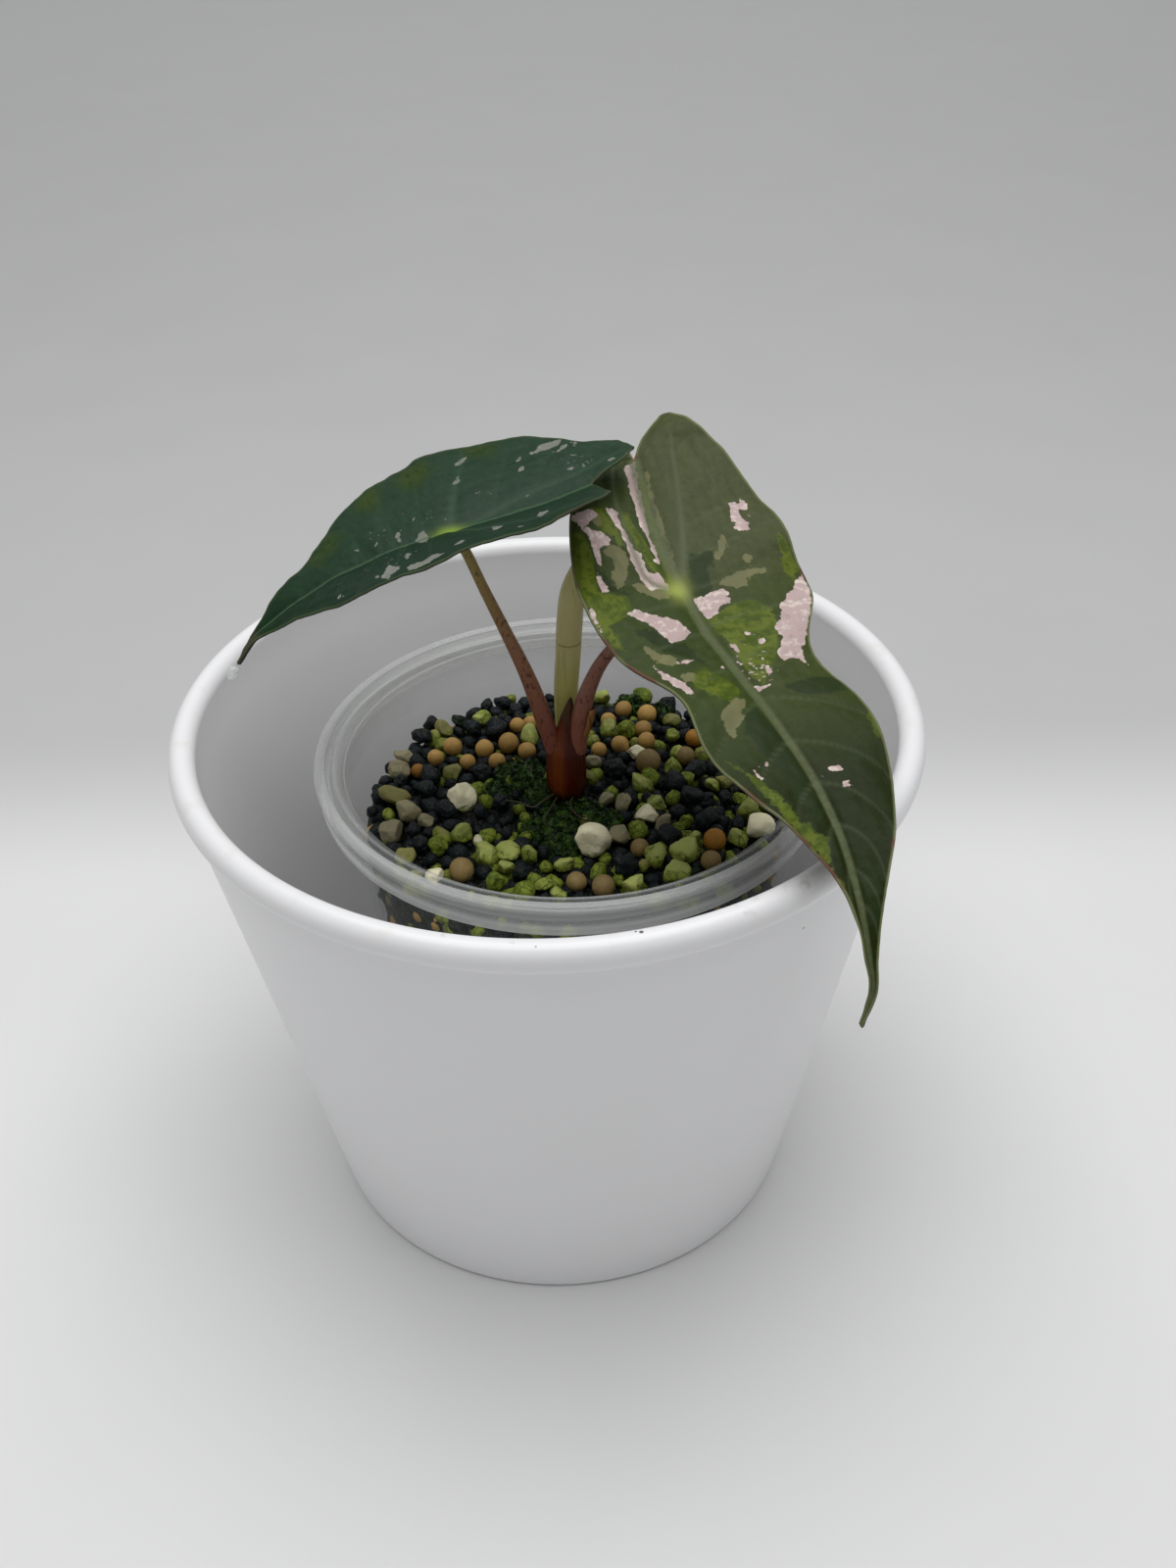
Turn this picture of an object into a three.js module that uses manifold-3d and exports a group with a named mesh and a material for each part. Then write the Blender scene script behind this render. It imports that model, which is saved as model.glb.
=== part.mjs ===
// A potted alocasia: two arrow-shaped leaves and a pale new leaf rise from one bulb, which stands in a mix of
// grains in a clear nursery cup, and the cup stands inside a larger white cover pot.
// Millimetres, +Z up. The origin is the middle of the cover pot's flat underside.
import Module from "manifold-3d";
import * as THREE from "three";
import { mergeVertices } from "three/addons/utils/BufferGeometryUtils.js";

// Driving dimensions: the two vessels.
const POT_HEIGHT = 99.7;
const POT_BASE_RADIUS = 45;
const POT_NECK_RADIUS = 63;
const POT_RIM_RADIUS = 65;
const POT_RIM_WIDTH = 4.7;
const POT_FLOOR = 5;
const POT_WALL = 3.2;
const POT_SIDES = 64;
const CUP_CENTRE = [4.2, -1.3];
const CUP_TOP = 92.4;
const CUP_RIM_RADIUS = 45.2;
const CUP_SKIRT_DROP = 6.2;
const CUP_THROAT_RADIUS = 39.8;
const CUP_BASE_RADIUS = 29.5;
const CUP_WALL = 0.9;
const CUP_SIDES = 56;

// Driving dimensions: the grain bed and the plant.
const GAP = 0.3;
const BED_LEVEL = 78;
const BED_SIDES = 32;
const GRAIN_COUNT = 130;
const GRAIN_SPACING = 4.7;
const PLANT_CENTRE = [3.1, 1];
const BULB_RADIUS = 3.6;
const BULB_BOTTOM = 68;
const BULB_SHOULDER = 90;
const BULB_TIP = 101.2;
const BULB_SIDES = 20;
const BULB_TIP_LEAN = [1.1, -1];
const BLADE_MARGIN = 0.7;
const BLADE_MIDDLE = 0.95;
const MIDRIB_DEPTH = 1.8;
const DROP_FOOT = [-52.3, -7.4, 108.8];
const DROP_TOP = [-51.3, -7.2, 113.2];
const DROP_RADIUS = 0.95;

const COLOURS = {
  glaze: { color: 0xe9e9e7, roughness: 0.28, metalness: 0 },
  clearPlastic: { color: 0xbfc6c4, roughness: 0.3, metalness: 0, transparent: true, opacity: 0.4 },
  grains: { color: 0x55604a, roughness: 0.9, metalness: 0 },
  sheath: { color: 0x6b2a18, roughness: 0.6, metalness: 0 },
  redStem: { color: 0x7a4a3c, roughness: 0.55, metalness: 0 },
  paleStem: { color: 0xbfc48a, roughness: 0.5, metalness: 0 },
  darkBlade: { color: 0x23402f, roughness: 0.38, metalness: 0 },
  pinkBlade: { color: 0x5f7a3e, roughness: 0.4, metalness: 0 },
  water: { color: 0xdfe8e4, roughness: 0.05, metalness: 0, transparent: true, opacity: 0.5 },
};

const wasm = await Module();
wasm.setup();

// A three.js geometry as a solid that can be joined and cut.
function solidOf(geometry) {
  const bare = geometry.clone();
  bare.deleteAttribute("normal");
  bare.deleteAttribute("uv");
  const merged = mergeVertices(bare, 1e-4);
  return new wasm.Manifold(new wasm.Mesh({
    numProp: 3,
    vertProperties: new Float32Array(merged.attributes.position.array),
    triVerts: new Uint32Array(merged.index.array),
  }));
}

// A solid back as a three.js geometry.
function geometryOf(solid) {
  const mesh = solid.getMesh();
  const geometry = new THREE.BufferGeometry();
  geometry.setAttribute("position", new THREE.BufferAttribute(mesh.vertProperties, 3));
  geometry.setIndex(new THREE.BufferAttribute(mesh.triVerts, 1));
  geometry.computeVertexNormals();
  return geometry;
}

// A round piece turned about +Z from [radius, height] pairs, its axis through the point [x, y].
function turned(profile, sides, [x, y] = [0, 0]) {
  const points = profile.map(([radius, height]) => new THREE.Vector2(radius, height));
  const geometry = new THREE.LatheGeometry(points, sides);
  geometry.rotateX(Math.PI / 2);
  geometry.translate(x, y, 0);
  return geometry;
}

// Points on an arc in the profile plane, with angles in degrees from the outward direction.
function arc([centre, height], [across, up], from, to, steps) {
  const points = [];
  for (let i = 0; i <= steps; i += 1) {
    const angle = THREE.MathUtils.degToRad(from + ((to - from) * i) / steps);
    points.push([centre + across * Math.cos(angle), height + up * Math.sin(angle)]);
  }
  return points;
}

function smoothCurve(points) {
  return new THREE.CatmullRomCurve3(points.map((p) => new THREE.Vector3(...p)), false, "catmullrom", 0.5);
}

// The white pot: a straight taper under a rounded rim that stands slightly proud of the wall.
function coverPot() {
  const rimHalf = POT_RIM_WIDTH / 2;
  const rimCentre = [POT_RIM_RADIUS - rimHalf, POT_HEIGHT - rimHalf - 0.3];
  const innerFloorRadius = POT_BASE_RADIUS - POT_WALL;
  const rimSize = [rimHalf, rimHalf + 0.3];
  return turned([
    [0, 0],
    ...arc([POT_BASE_RADIUS - 1.5, 1.5], [1.5, 1.5], -90, -10, 3),
    [POT_NECK_RADIUS, POT_HEIGHT - POT_RIM_WIDTH - 1.2],
    ...arc(rimCentre, rimSize, -35, 180, 8),
    ...arc([innerFloorRadius - 3, POT_FLOOR + 3], [3, 3], 0, -90, 3),
    [0, POT_FLOOR],
  ], POT_SIDES);
}

// The height of the cup's outer floor, and the cup's inner radius at any height below its throat.
const CUP_FLOOR = POT_FLOOR + GAP;
const CUP_THROAT = CUP_TOP - 3;

function cupInnerRadius(height) {
  const share = (height - CUP_FLOOR) / (CUP_THROAT - CUP_FLOOR);
  return CUP_BASE_RADIUS + (CUP_THROAT_RADIUS - CUP_BASE_RADIUS) * share;
}

// The clear cup: a thin tapered wall, a stepped seat for a lid, a rounded rim and a short skirt outside it.
function nurseryCup() {
  const seat = CUP_THROAT_RADIUS + 1.7;
  const skirt = CUP_RIM_RADIUS - 0.9;
  const skirtFoot = CUP_TOP - CUP_SKIRT_DROP;
  const inside = CUP_FLOOR + CUP_WALL;
  return turned([
    [0, CUP_FLOOR],
    [cupInnerRadius(CUP_FLOOR) + CUP_WALL - 1, CUP_FLOOR],
    [cupInnerRadius(CUP_FLOOR) + CUP_WALL, CUP_FLOOR + 1],
    [CUP_THROAT_RADIUS + CUP_WALL, CUP_THROAT - 0.6],
    [seat + 1.2, CUP_TOP - 2.2],
    [skirt - CUP_WALL, skirtFoot + 1.2],
    [skirt - CUP_WALL, skirtFoot],
    [skirt, skirtFoot],
    ...arc([CUP_RIM_RADIUS - 1.1, CUP_TOP - 1.1], [1.1, 1.1], -20, 150, 4),
    [seat + 1.4, CUP_TOP - 1.1],
    [seat, CUP_TOP - 0.9],
    [seat - 0.8, CUP_TOP - 1.3],
    [CUP_THROAT_RADIUS, CUP_THROAT],
    [cupInnerRadius(inside), inside],
    [0, inside],
  ], CUP_SIDES, CUP_CENTRE);
}

// A repeatable sequence of numbers from 0 to 1.
function seededNumbers(seed) {
  let state = seed;
  return () => {
    state = (state * 16807) % 2147483647;
    return state / 2147483647;
  };
}

// What each kind of grain measures: its mean radius, how much it is stretched, and its roundness.
const GRAIN_KINDS = {
  prill: { radius: 2.0, stretch: 0, detail: 1 },
  lava: { radius: 2.5, stretch: 0.25, detail: 0 },
  pumice: { radius: 2.9, stretch: 0.35, detail: 0 },
};

// Where prills and pumice gather, as [kind, x, y, radius of the patch]. Elsewhere the grains are mostly lava.
const GRAIN_PATCHES = [
  ["prill", -15, 15.5, 8],
  ["prill", -7, 14.5, 6],
  ["prill", 16, 20, 8],
  ["prill", 16, 29, 5],
  ["prill", 26, -16, 4],
  ["pumice", -26, -6, 7],
  ["pumice", 3, -20, 12],
  ["pumice", 20, -18, 8],
  ["pumice", 36, -8, 7],
  ["pumice", -6, -16, 7],
  ["pumice", 12, 3, 6],
];

// Single grains that stand out: [kind, x, y, radius].
const MARKED_GRAINS = [
  ["pumice", 7.4, -14.5, 4.1],
  ["pumice", -16.3, 1, 3.2],
  ["pumice", 18, -5, 2.9],
  ["pumice", 34, -9, 3.4],
  ["prill", -14.8, -20.5, 2.4],
  ["prill", 4.7, -24, 2.1],
  ["prill", 9.8, -25.4, 2.1],
  ["prill", 15.9, -14.5, 1.9],
  ["prill", 27.5, -13.5, 2.5],
];

// Grains scattered at random, no two closer than the spacing, after the marked ones.
function scatteredGrains() {
  const random = seededNumbers(4127);
  const grains = MARKED_GRAINS.map(([kind, x, y, radius]) => ({ kind, x, y, radius }));
  const reach = cupInnerRadius(BED_LEVEL) - 1;
  for (let tries = 0; grains.length < GRAIN_COUNT && tries < 20000; tries += 1) {
    const angle = random() * Math.PI * 2;
    const away = Math.sqrt(random()) * reach;
    const x = CUP_CENTRE[0] + away * Math.cos(angle);
    const y = CUP_CENTRE[1] + away * Math.sin(angle);
    const clear = grains.every((g) => Math.hypot(g.x - x, g.y - y) > GRAIN_SPACING);
    if (!clear) continue;
    const patch = GRAIN_PATCHES.find(([, px, py, size]) => Math.hypot(px - x, py - y) < size);
    const kind = patch && random() < 0.75 ? patch[0] : "lava";
    const radius = GRAIN_KINDS[kind].radius * (0.85 + 0.3 * random());
    grains.push({ kind, x, y, radius });
  }
  return grains;
}

// One grain as a solid: a ball, or a stone squashed and turned at random, sunk to its middle in the bed.
function grainSolid({ kind, x, y, radius }, random) {
  const { stretch, detail } = GRAIN_KINDS[kind];
  const geometry = new THREE.IcosahedronGeometry(radius, detail);
  geometry.scale(1 + stretch * (random() - 0.3), 1, 1 - stretch * random());
  geometry.rotateY(random() * 1.2);
  geometry.rotateZ(random() * Math.PI * 2);
  geometry.translate(x, y, BED_LEVEL + radius * (0.15 + 0.2 * random()));
  return solidOf(geometry);
}

// The bed fills the cup and carries its top layer of grains, with a plain hole for the bulb.
function grainBed(bulbHole) {
  const foot = CUP_FLOOR + CUP_WALL + GAP;
  const filling = (top) => turned([
    [0, foot],
    [cupInnerRadius(foot) - GAP, foot],
    [cupInnerRadius(top) - GAP, top],
    [0, top],
  ], BED_SIDES, CUP_CENTRE);
  const random = seededNumbers(911);
  const grains = scatteredGrains().map((grain) => grainSolid(grain, random));
  const heaped = solidOf(filling(BED_LEVEL)).add(wasm.Manifold.union(grains));
  return heaped.intersect(solidOf(filling(CUP_THROAT - 1))).subtract(bulbHole);
}

// A round stem along a curve: one radius for each point of the curve, with flat ends.
function stem(points, radii, sides = 12, steps = 18) {
  const curve = smoothCurve(points);
  const girth = smoothCurve(radii.map((radius) => [radius, 0, 0]));
  const frames = curve.computeFrenetFrames(steps);
  const positions = [];
  const faces = [];
  for (let i = 0; i <= steps; i += 1) {
    const centre = curve.getPointAt(i / steps);
    const radius = girth.getPoint(curve.getUtoTmapping(i / steps)).x;
    for (let k = 0; k < sides; k += 1) {
      const angle = (k / sides) * Math.PI * 2;
      const point = centre.clone()
        .addScaledVector(frames.normals[i], radius * Math.cos(angle))
        .addScaledVector(frames.binormals[i], radius * Math.sin(angle));
      positions.push(...point.toArray());
      if (i === steps) continue;
      const [a, b] = [i * sides + k, i * sides + ((k + 1) % sides)];
      faces.push(a, b, b + sides, a, b + sides, a + sides);
    }
  }
  for (let k = 1; k < sides - 1; k += 1) {
    const last = steps * sides;
    faces.push(0, k + 1, k, last, last + k, last + k + 1);
  }
  const geometry = new THREE.BufferGeometry();
  geometry.setAttribute("position", new THREE.Float32BufferAttribute(positions, 3));
  geometry.setIndex(faces);
  return geometry;
}

// The three stems start inside the bulb's sheath. Each grows by a margin to cut its own plain hole there.
const LEFT_STEM = {
  points: [[0.9, 0.5, 90], [-0.6, 0.5, 96.5], [-3.3, 0.1, 106], [-6.3, -0.3, 114.3], [-9.6, -0.6, 123],
    [-12.3, -0.9, 130.4], [-14, -1, 131.9]],
  radii: [1.5, 1.6, 1.3, 1.05, 0.9, 0.85, 0.8],
  flap: { middle: [-0.2, 0.3, 100.6], size: [0.75, 0.8, 1.9], lean: 10 },
};
const RIGHT_STEM = {
  points: [[5, 0, 90], [6, -0.2, 98.5], [8.4, -1.2, 106.5], [11.6, -2.6, 112.5], [16.4, -4.5, 118.2],
    [20.9, -6.2, 122], [22.4, -6.7, 123.1]],
  radii: [1.6, 1.6, 1.25, 1.05, 1.0, 0.95, 0.85],
  flap: { middle: [7.1, -0.5, 96.6], size: [0.95, 0.9, 2.6], lean: 20 },
};
const NEW_LEAF = {
  points: [[3.2, 4.1, 89], [3.3, 4.6, 99], [3.9, 4.8, 107], [4.3, 5, 113], [5, 5.2, 119], [6.7, 5.6, 124],
    [8.7, 6.2, 126.8]],
  radii: [1.8, 2.1, 2.2, 2.25, 2.1, 1.4, 0.45],
};

// A petiole with the short dry flap of sheath that stands off its side.
function petiole({ points, radii, flap }) {
  const scale = new THREE.IcosahedronGeometry(1, 1);
  scale.scale(...flap.size);
  scale.rotateY(THREE.MathUtils.degToRad(flap.lean));
  scale.translate(...flap.middle);
  return geometryOf(solidOf(stem(points, radii)).add(solidOf(scale)));
}

// The bulb in its sheath: a flask that draws in to a dark pointed tip, which leans to the right.
function bulbSolid() {
  const neck = BULB_TIP - BULB_SHOULDER;
  const geometry = turned([
    [0, BULB_BOTTOM],
    ...arc([0, BULB_BOTTOM + 3.4], [BULB_RADIUS - 0.6, 3.4], -60, 0, 3),
    [BULB_RADIUS - 0.7, BULB_SHOULDER - 11],
    [BULB_RADIUS - 0.1, BULB_SHOULDER - 7],
    [BULB_RADIUS, BULB_SHOULDER - 4],
    [BULB_RADIUS - 0.4, BULB_SHOULDER],
    [BULB_RADIUS - 1.2, BULB_SHOULDER + 0.22 * neck],
    [BULB_RADIUS - 2, BULB_SHOULDER + 0.45 * neck],
    [BULB_RADIUS - 2.5, BULB_SHOULDER + 0.67 * neck],
    [0.6, BULB_SHOULDER + 0.87 * neck],
    [0, BULB_TIP],
  ], BULB_SIDES, PLANT_CENTRE);
  const place = geometry.attributes.position;
  for (let i = 0; i < place.count; i += 1) {
    const lean = Math.max(0, (place.getZ(i) - BULB_SHOULDER) / neck) ** 2;
    place.setX(i, place.getX(i) + BULB_TIP_LEAN[0] * lean);
    place.setY(i, place.getY(i) + BULB_TIP_LEAN[1] * lean);
  }
  return solidOf(geometry);
}

// The hole that a stem leaves in the sheath.
function stemHole({ points, radii }) {
  return solidOf(stem(points, radii.map((radius) => radius + GAP)));
}

// The same flask a little larger, as the plain hole in the bed.
function bulbHole() {
  const side = BULB_RADIUS + GAP;
  return solidOf(turned([
    [0, BULB_BOTTOM - GAP],
    [side - 1.6, BULB_BOTTOM - GAP],
    [side, BULB_BOTTOM + 2],
    [side, BULB_TIP],
    [0, BULB_TIP],
  ], BULB_SIDES, PLANT_CENTRE));
}

function stemBase() {
  return [LEFT_STEM, RIGHT_STEM, NEW_LEAF].reduce((base, spec) => base.subtract(stemHole(spec)), bulbSolid());
}

// A leaf. The midrib runs from the notch between the two rear lobes, over the place of its stem, to the drip
// tip. Each side has the width and the lift in degrees of its half of the blade at each midrib point, and its
// rear lobe as pairs of inner and outer points that end at the lobe's tip.
const LEFT_LEAF = {
  midrib: [[8.5, 3, 139.8], [1.5, 1.6, 137.8], [-6.2, 0.3, 136], [-14.4, -1, 134.2], [-20, -1.7, 132.7],
    [-25.6, -2.4, 131], [-31.3, -3.2, 128.7], [-37.1, -4.1, 125.6], [-42.2, -5, 122.5], [-46.2, -5.9, 119.6],
    [-48.4, -6.4, 117.4], [-49.8, -6.8, 115.6], [-50.9, -7.1, 114]],
  droop: 0.12,
  wave: { height: 0.5, count: 5 },
  sides: [
    {
      hand: 1,
      widths: [10.6, 11.8, 14, 16, 16.8, 16.2, 12.6, 7.6, 3.9, 1.6, 0.9, 0.7, 0.5],
      lifts: [20, 20, 20, 20, 19, 17, 13, 7, 0, -4, 0, 0, 0],
      lobe: [{ inner: [11, -1.2, 141], outer: [11.5, -2.8, 141.4] }],
    },
    {
      hand: -1,
      widths: [12.9, 17.4, 20.4, 20.8, 20.1, 17.8, 13.2, 8.0, 5.2, 1.9, 0.9, 0.7, 0.5],
      lifts: [20, 20, 20, 20, 20, 20, 20, 20, 18, 14, 8, 4, 0],
      lobe: [{ inner: [10.9, 7, 140.4], outer: [11.7, 17, 141.4] },
        { inner: [13.6, 10.4, 140.8], outer: [14.2, 15.9, 141.4] },
        { inner: [15.4, 13.4, 141], outer: [15.8, 14.4, 141.1] }],
    },
  ],
};
const RIGHT_LEAF = {
  midrib: [[15.8, 18.6, 137], [17.2, 9.8, 132.8], [19.4, 0.9, 129], [22.8, -7, 125.6], [26, -15, 122.4],
    [31, -23.5, 119.3], [36, -32.4, 116], [40.3, -41.3, 112.6], [43.2, -49.7, 109.2], [45, -57, 105],
    [46, -61.6, 101.2], [46.7, -64.9, 96.7], [47, -66.6, 92.4], [45.4, -67, 86]],
  droop: 0.1,
  wave: { height: 0.6, count: 6 },
  sides: [
    {
      hand: 1,
      widths: [14.4, 18.4, 21, 20.6, 19.9, 13.4, 14.6, 12.8, 9.4, 5.2, 2.8, 1.3, 0.8, 0.5],
      lifts: [14, 14, 14, 14, 13, 12, 12, 12, 12, 12, 10, 6, 3, 0],
      lobe: [{ inner: [17.3, 22.5, 139.3], outer: [25.4, 25, 141.6] },
        { inner: [20.8, 27.4, 141.2], outer: [21.8, 27.4, 141.6] }],
    },
    {
      hand: -1,
      widths: [7.7, 12.6, 15.2, 17.2, 15.6, 11.8, 13, 11, 6.2, 2.4, 1.1, 0.8, 0.7, 0.5],
      lifts: [6, 6, 6, 6, 6, 6, 6, 6, 6, 6, 6, 4, 2, 0],
      lobe: [{ inner: [14.9, 20.5, 138.1], outer: [10.4, 19.6, 138] },
        { inner: [13.8, 21.6, 138.9], outer: [12.9, 21.4, 138.9] }],
    },
  ],
};
const ROWS_PER_POINT = 2;
const COLUMNS = [0, 0.07, 0.3, 0.55, 0.8, 1];

// The directions of the blade at a share of the midrib's length: sideways to the left, and up off its face.
function bladeFrame(midrib, share) {
  const along = midrib.getTangent(share);
  const left = new THREE.Vector3(0, 0, 1).cross(along).normalize();
  return { left, up: along.cross(left).normalize() };
}

// One half of a blade as rows of points from the midrib to the margin, each with its own thickness.
function halfRows(leaf, side) {
  const midrib = smoothCurve(leaf.midrib);
  const last = leaf.midrib.length - 1;
  const lobe = [...side.lobe].reverse();
  const margin = side.widths.map((width, i) => {
    const { left, up } = bladeFrame(midrib, i / last);
    const lift = THREE.MathUtils.degToRad(side.lifts[i]);
    return new THREE.Vector3(...leaf.midrib[i])
      .addScaledVector(left, side.hand * width * Math.cos(lift))
      .addScaledVector(up, width * (Math.sin(lift) - leaf.droop)).toArray();
  });
  const marginCurve = smoothCurve([...lobe.map((pair) => pair.outer), ...margin]);
  const lobeEdge = smoothCurve([...lobe.map((pair) => pair.inner), leaf.midrib[0]]);
  const spans = lobe.length + last;
  const rows = [];
  for (let i = 0; i <= spans * ROWS_PER_POINT; i += 1) {
    const station = i / ROWS_PER_POINT;
    const share = Math.max(0, (station - lobe.length) / last);
    const inLobe = station < lobe.length;
    const inner = inLobe ? lobeEdge.getPoint(station / lobe.length) : midrib.getPoint(share);
    const outer = marginCurve.getPoint(station / spans);
    const { up } = bladeFrame(midrib, share);
    const width = inner.distanceTo(outer);
    const ripple = leaf.wave.height * Math.sin(share * leaf.wave.count * Math.PI * 2 + side.hand);
    const calm = Math.min(1, width / 8) * Math.min(1, (1 - share) * 4);
    const keel = inLobe ? BLADE_MARGIN : THREE.MathUtils.lerp(MIDRIB_DEPTH, BLADE_MARGIN, share * share);
    rows.push(COLUMNS.map((across, k) => ({
      point: inner.clone().lerp(outer, across)
        .addScaledVector(up, width * leaf.droop * (across - across * across) + ripple * calm * across ** 3),
      depth: k === 0 ? keel : THREE.MathUtils.lerp(BLADE_MIDDLE, BLADE_MARGIN, across),
    })));
  }
  return rows;
}

// The upper face of a blade, both halves joined along the midrib, as one open sheet.
function bladeSheet(leaf) {
  const positions = [];
  const depths = [];
  const put = ({ point, depth }) => {
    positions.push(...point.toArray());
    depths.push(depth);
  };
  for (const side of leaf.sides) {
    const rows = halfRows(leaf, side);
    for (let i = 0; i + 1 < rows.length; i += 1) {
      for (let k = 0; k + 1 < COLUMNS.length; k += 1) {
        const [a, b, c, d] = [rows[i][k], rows[i + 1][k], rows[i + 1][k + 1], rows[i][k + 1]];
        const corners = side.hand > 0 ? [a, b, c, a, c, d] : [a, c, b, a, d, c];
        corners.forEach(put);
      }
    }
  }
  const sheet = new THREE.BufferGeometry();
  sheet.setAttribute("position", new THREE.Float32BufferAttribute(positions, 3));
  sheet.setAttribute("depth", new THREE.Float32BufferAttribute(depths, 1));
  return mergeVertices(sheet, 1e-3);
}

// A closed blade: the sheet, the same sheet pushed down by its depth, and a wall round the open edge.
function leafBlade(leaf) {
  const sheet = bladeSheet(leaf);
  sheet.computeVertexNormals();
  const { position, normal, depth } = sheet.attributes;
  const count = position.count;
  const positions = Array.from(position.array);
  for (let i = 0; i < count; i += 1) {
    const point = new THREE.Vector3().fromBufferAttribute(position, i);
    const off = new THREE.Vector3().fromBufferAttribute(normal, i);
    positions.push(...point.addScaledVector(off, -depth.getX(i)).toArray());
  }
  const top = Array.from(sheet.index.array);
  const faces = [...top];
  const edges = new Set();
  for (let i = 0; i < top.length; i += 3) {
    const [a, b, c] = top.slice(i, i + 3);
    faces.push(a + count, c + count, b + count);
    for (const [from, to] of [[a, b], [b, c], [c, a]]) edges.add(`${from},${to}`);
  }
  for (const edge of edges) {
    const [from, to] = edge.split(",").map(Number);
    if (edges.has(`${to},${from}`)) continue;
    faces.push(to, from, from + count, to, from + count, to + count);
  }
  const geometry = new THREE.BufferGeometry();
  geometry.setAttribute("position", new THREE.Float32BufferAttribute(positions, 3));
  geometry.setIndex(faces);
  return geometry;
}

// The long drop of water that hangs from the left leaf's tip and slants the way the tip does.
function waterDrop() {
  const height = DROP_TOP[2] - DROP_FOOT[2];
  const drop = turned([
    [0, 0],
    ...arc([0, 1], [DROP_RADIUS, 1], -60, 20, 4),
    [DROP_RADIUS * 0.8, height * 0.6],
    [DROP_RADIUS * 0.55, height * 0.85],
    [0, height],
  ], 14);
  const place = drop.attributes.position;
  for (let i = 0; i < place.count; i += 1) {
    const share = place.getZ(i) / height;
    place.setX(i, place.getX(i) + (DROP_TOP[0] - DROP_FOOT[0]) * share);
    place.setY(i, place.getY(i) + (DROP_TOP[1] - DROP_FOOT[1]) * share);
  }
  drop.translate(...DROP_FOOT);
  return drop;
}

function piece(name, geometry, finish) {
  const mesh = new THREE.Mesh(geometry, new THREE.MeshStandardMaterial(finish));
  mesh.name = name;
  return mesh;
}

const plant = new THREE.Group();
plant.add(
  piece("stem_base", geometryOf(stemBase()), COLOURS.sheath),
  piece("petiole_left", petiole(LEFT_STEM), COLOURS.redStem),
  piece("petiole_right", petiole(RIGHT_STEM), COLOURS.redStem),
  piece("new_leaf", stem(NEW_LEAF.points, NEW_LEAF.radii), COLOURS.paleStem),
  piece("leaf_left", leafBlade(LEFT_LEAF), COLOURS.darkBlade),
  piece("leaf_right", leafBlade(RIGHT_LEAF), COLOURS.pinkBlade),
  piece("water_drop", waterDrop(), COLOURS.water),
);

const potted = new THREE.Group();
potted.add(
  piece("cover_pot", coverPot(), COLOURS.glaze),
  piece("nursery_cup", nurseryCup(), COLOURS.clearPlastic),
  piece("substrate", geometryOf(grainBed(bulbHole())), COLOURS.grains),
  plant,
);

export default potted;
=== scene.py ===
"""Dresses a young potted aroid: a white cover pot, a clear cup of mixed grit, and a plant with two leaves.

Sizes are millimetres, turned into metres where a mesh is made. The pot stands on the floor at the origin
and the camera looks from -Y.
"""

import logging
import math
from dataclasses import dataclass, field
from enum import Enum
from typing import Sequence, Union

import bmesh
import bpy
import numpy as np
from mathutils import Matrix, Vector


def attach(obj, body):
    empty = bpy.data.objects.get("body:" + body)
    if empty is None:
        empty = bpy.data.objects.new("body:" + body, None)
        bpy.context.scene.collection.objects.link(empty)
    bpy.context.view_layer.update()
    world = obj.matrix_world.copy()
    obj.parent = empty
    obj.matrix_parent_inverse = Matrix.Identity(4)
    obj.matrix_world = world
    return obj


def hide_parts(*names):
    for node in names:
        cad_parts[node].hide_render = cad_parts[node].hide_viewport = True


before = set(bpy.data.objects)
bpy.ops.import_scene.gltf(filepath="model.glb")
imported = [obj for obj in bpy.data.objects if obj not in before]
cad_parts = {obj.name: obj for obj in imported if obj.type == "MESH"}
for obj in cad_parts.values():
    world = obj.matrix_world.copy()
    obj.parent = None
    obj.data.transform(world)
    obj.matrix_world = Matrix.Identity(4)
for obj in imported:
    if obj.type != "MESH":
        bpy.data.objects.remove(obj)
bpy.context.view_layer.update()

MM = 0.001
TAU = 2 * math.pi
AXIS = 1e-6

Flat = tuple[float, float]
Point = tuple[float, float, float]
Colour = tuple[float, float, float]
Value = Union[float, tuple, str, bool, "Signal", bpy.types.NodeSocket, bpy.types.ID]

log = logging.getLogger("potted_plant")


# Nodes


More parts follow.
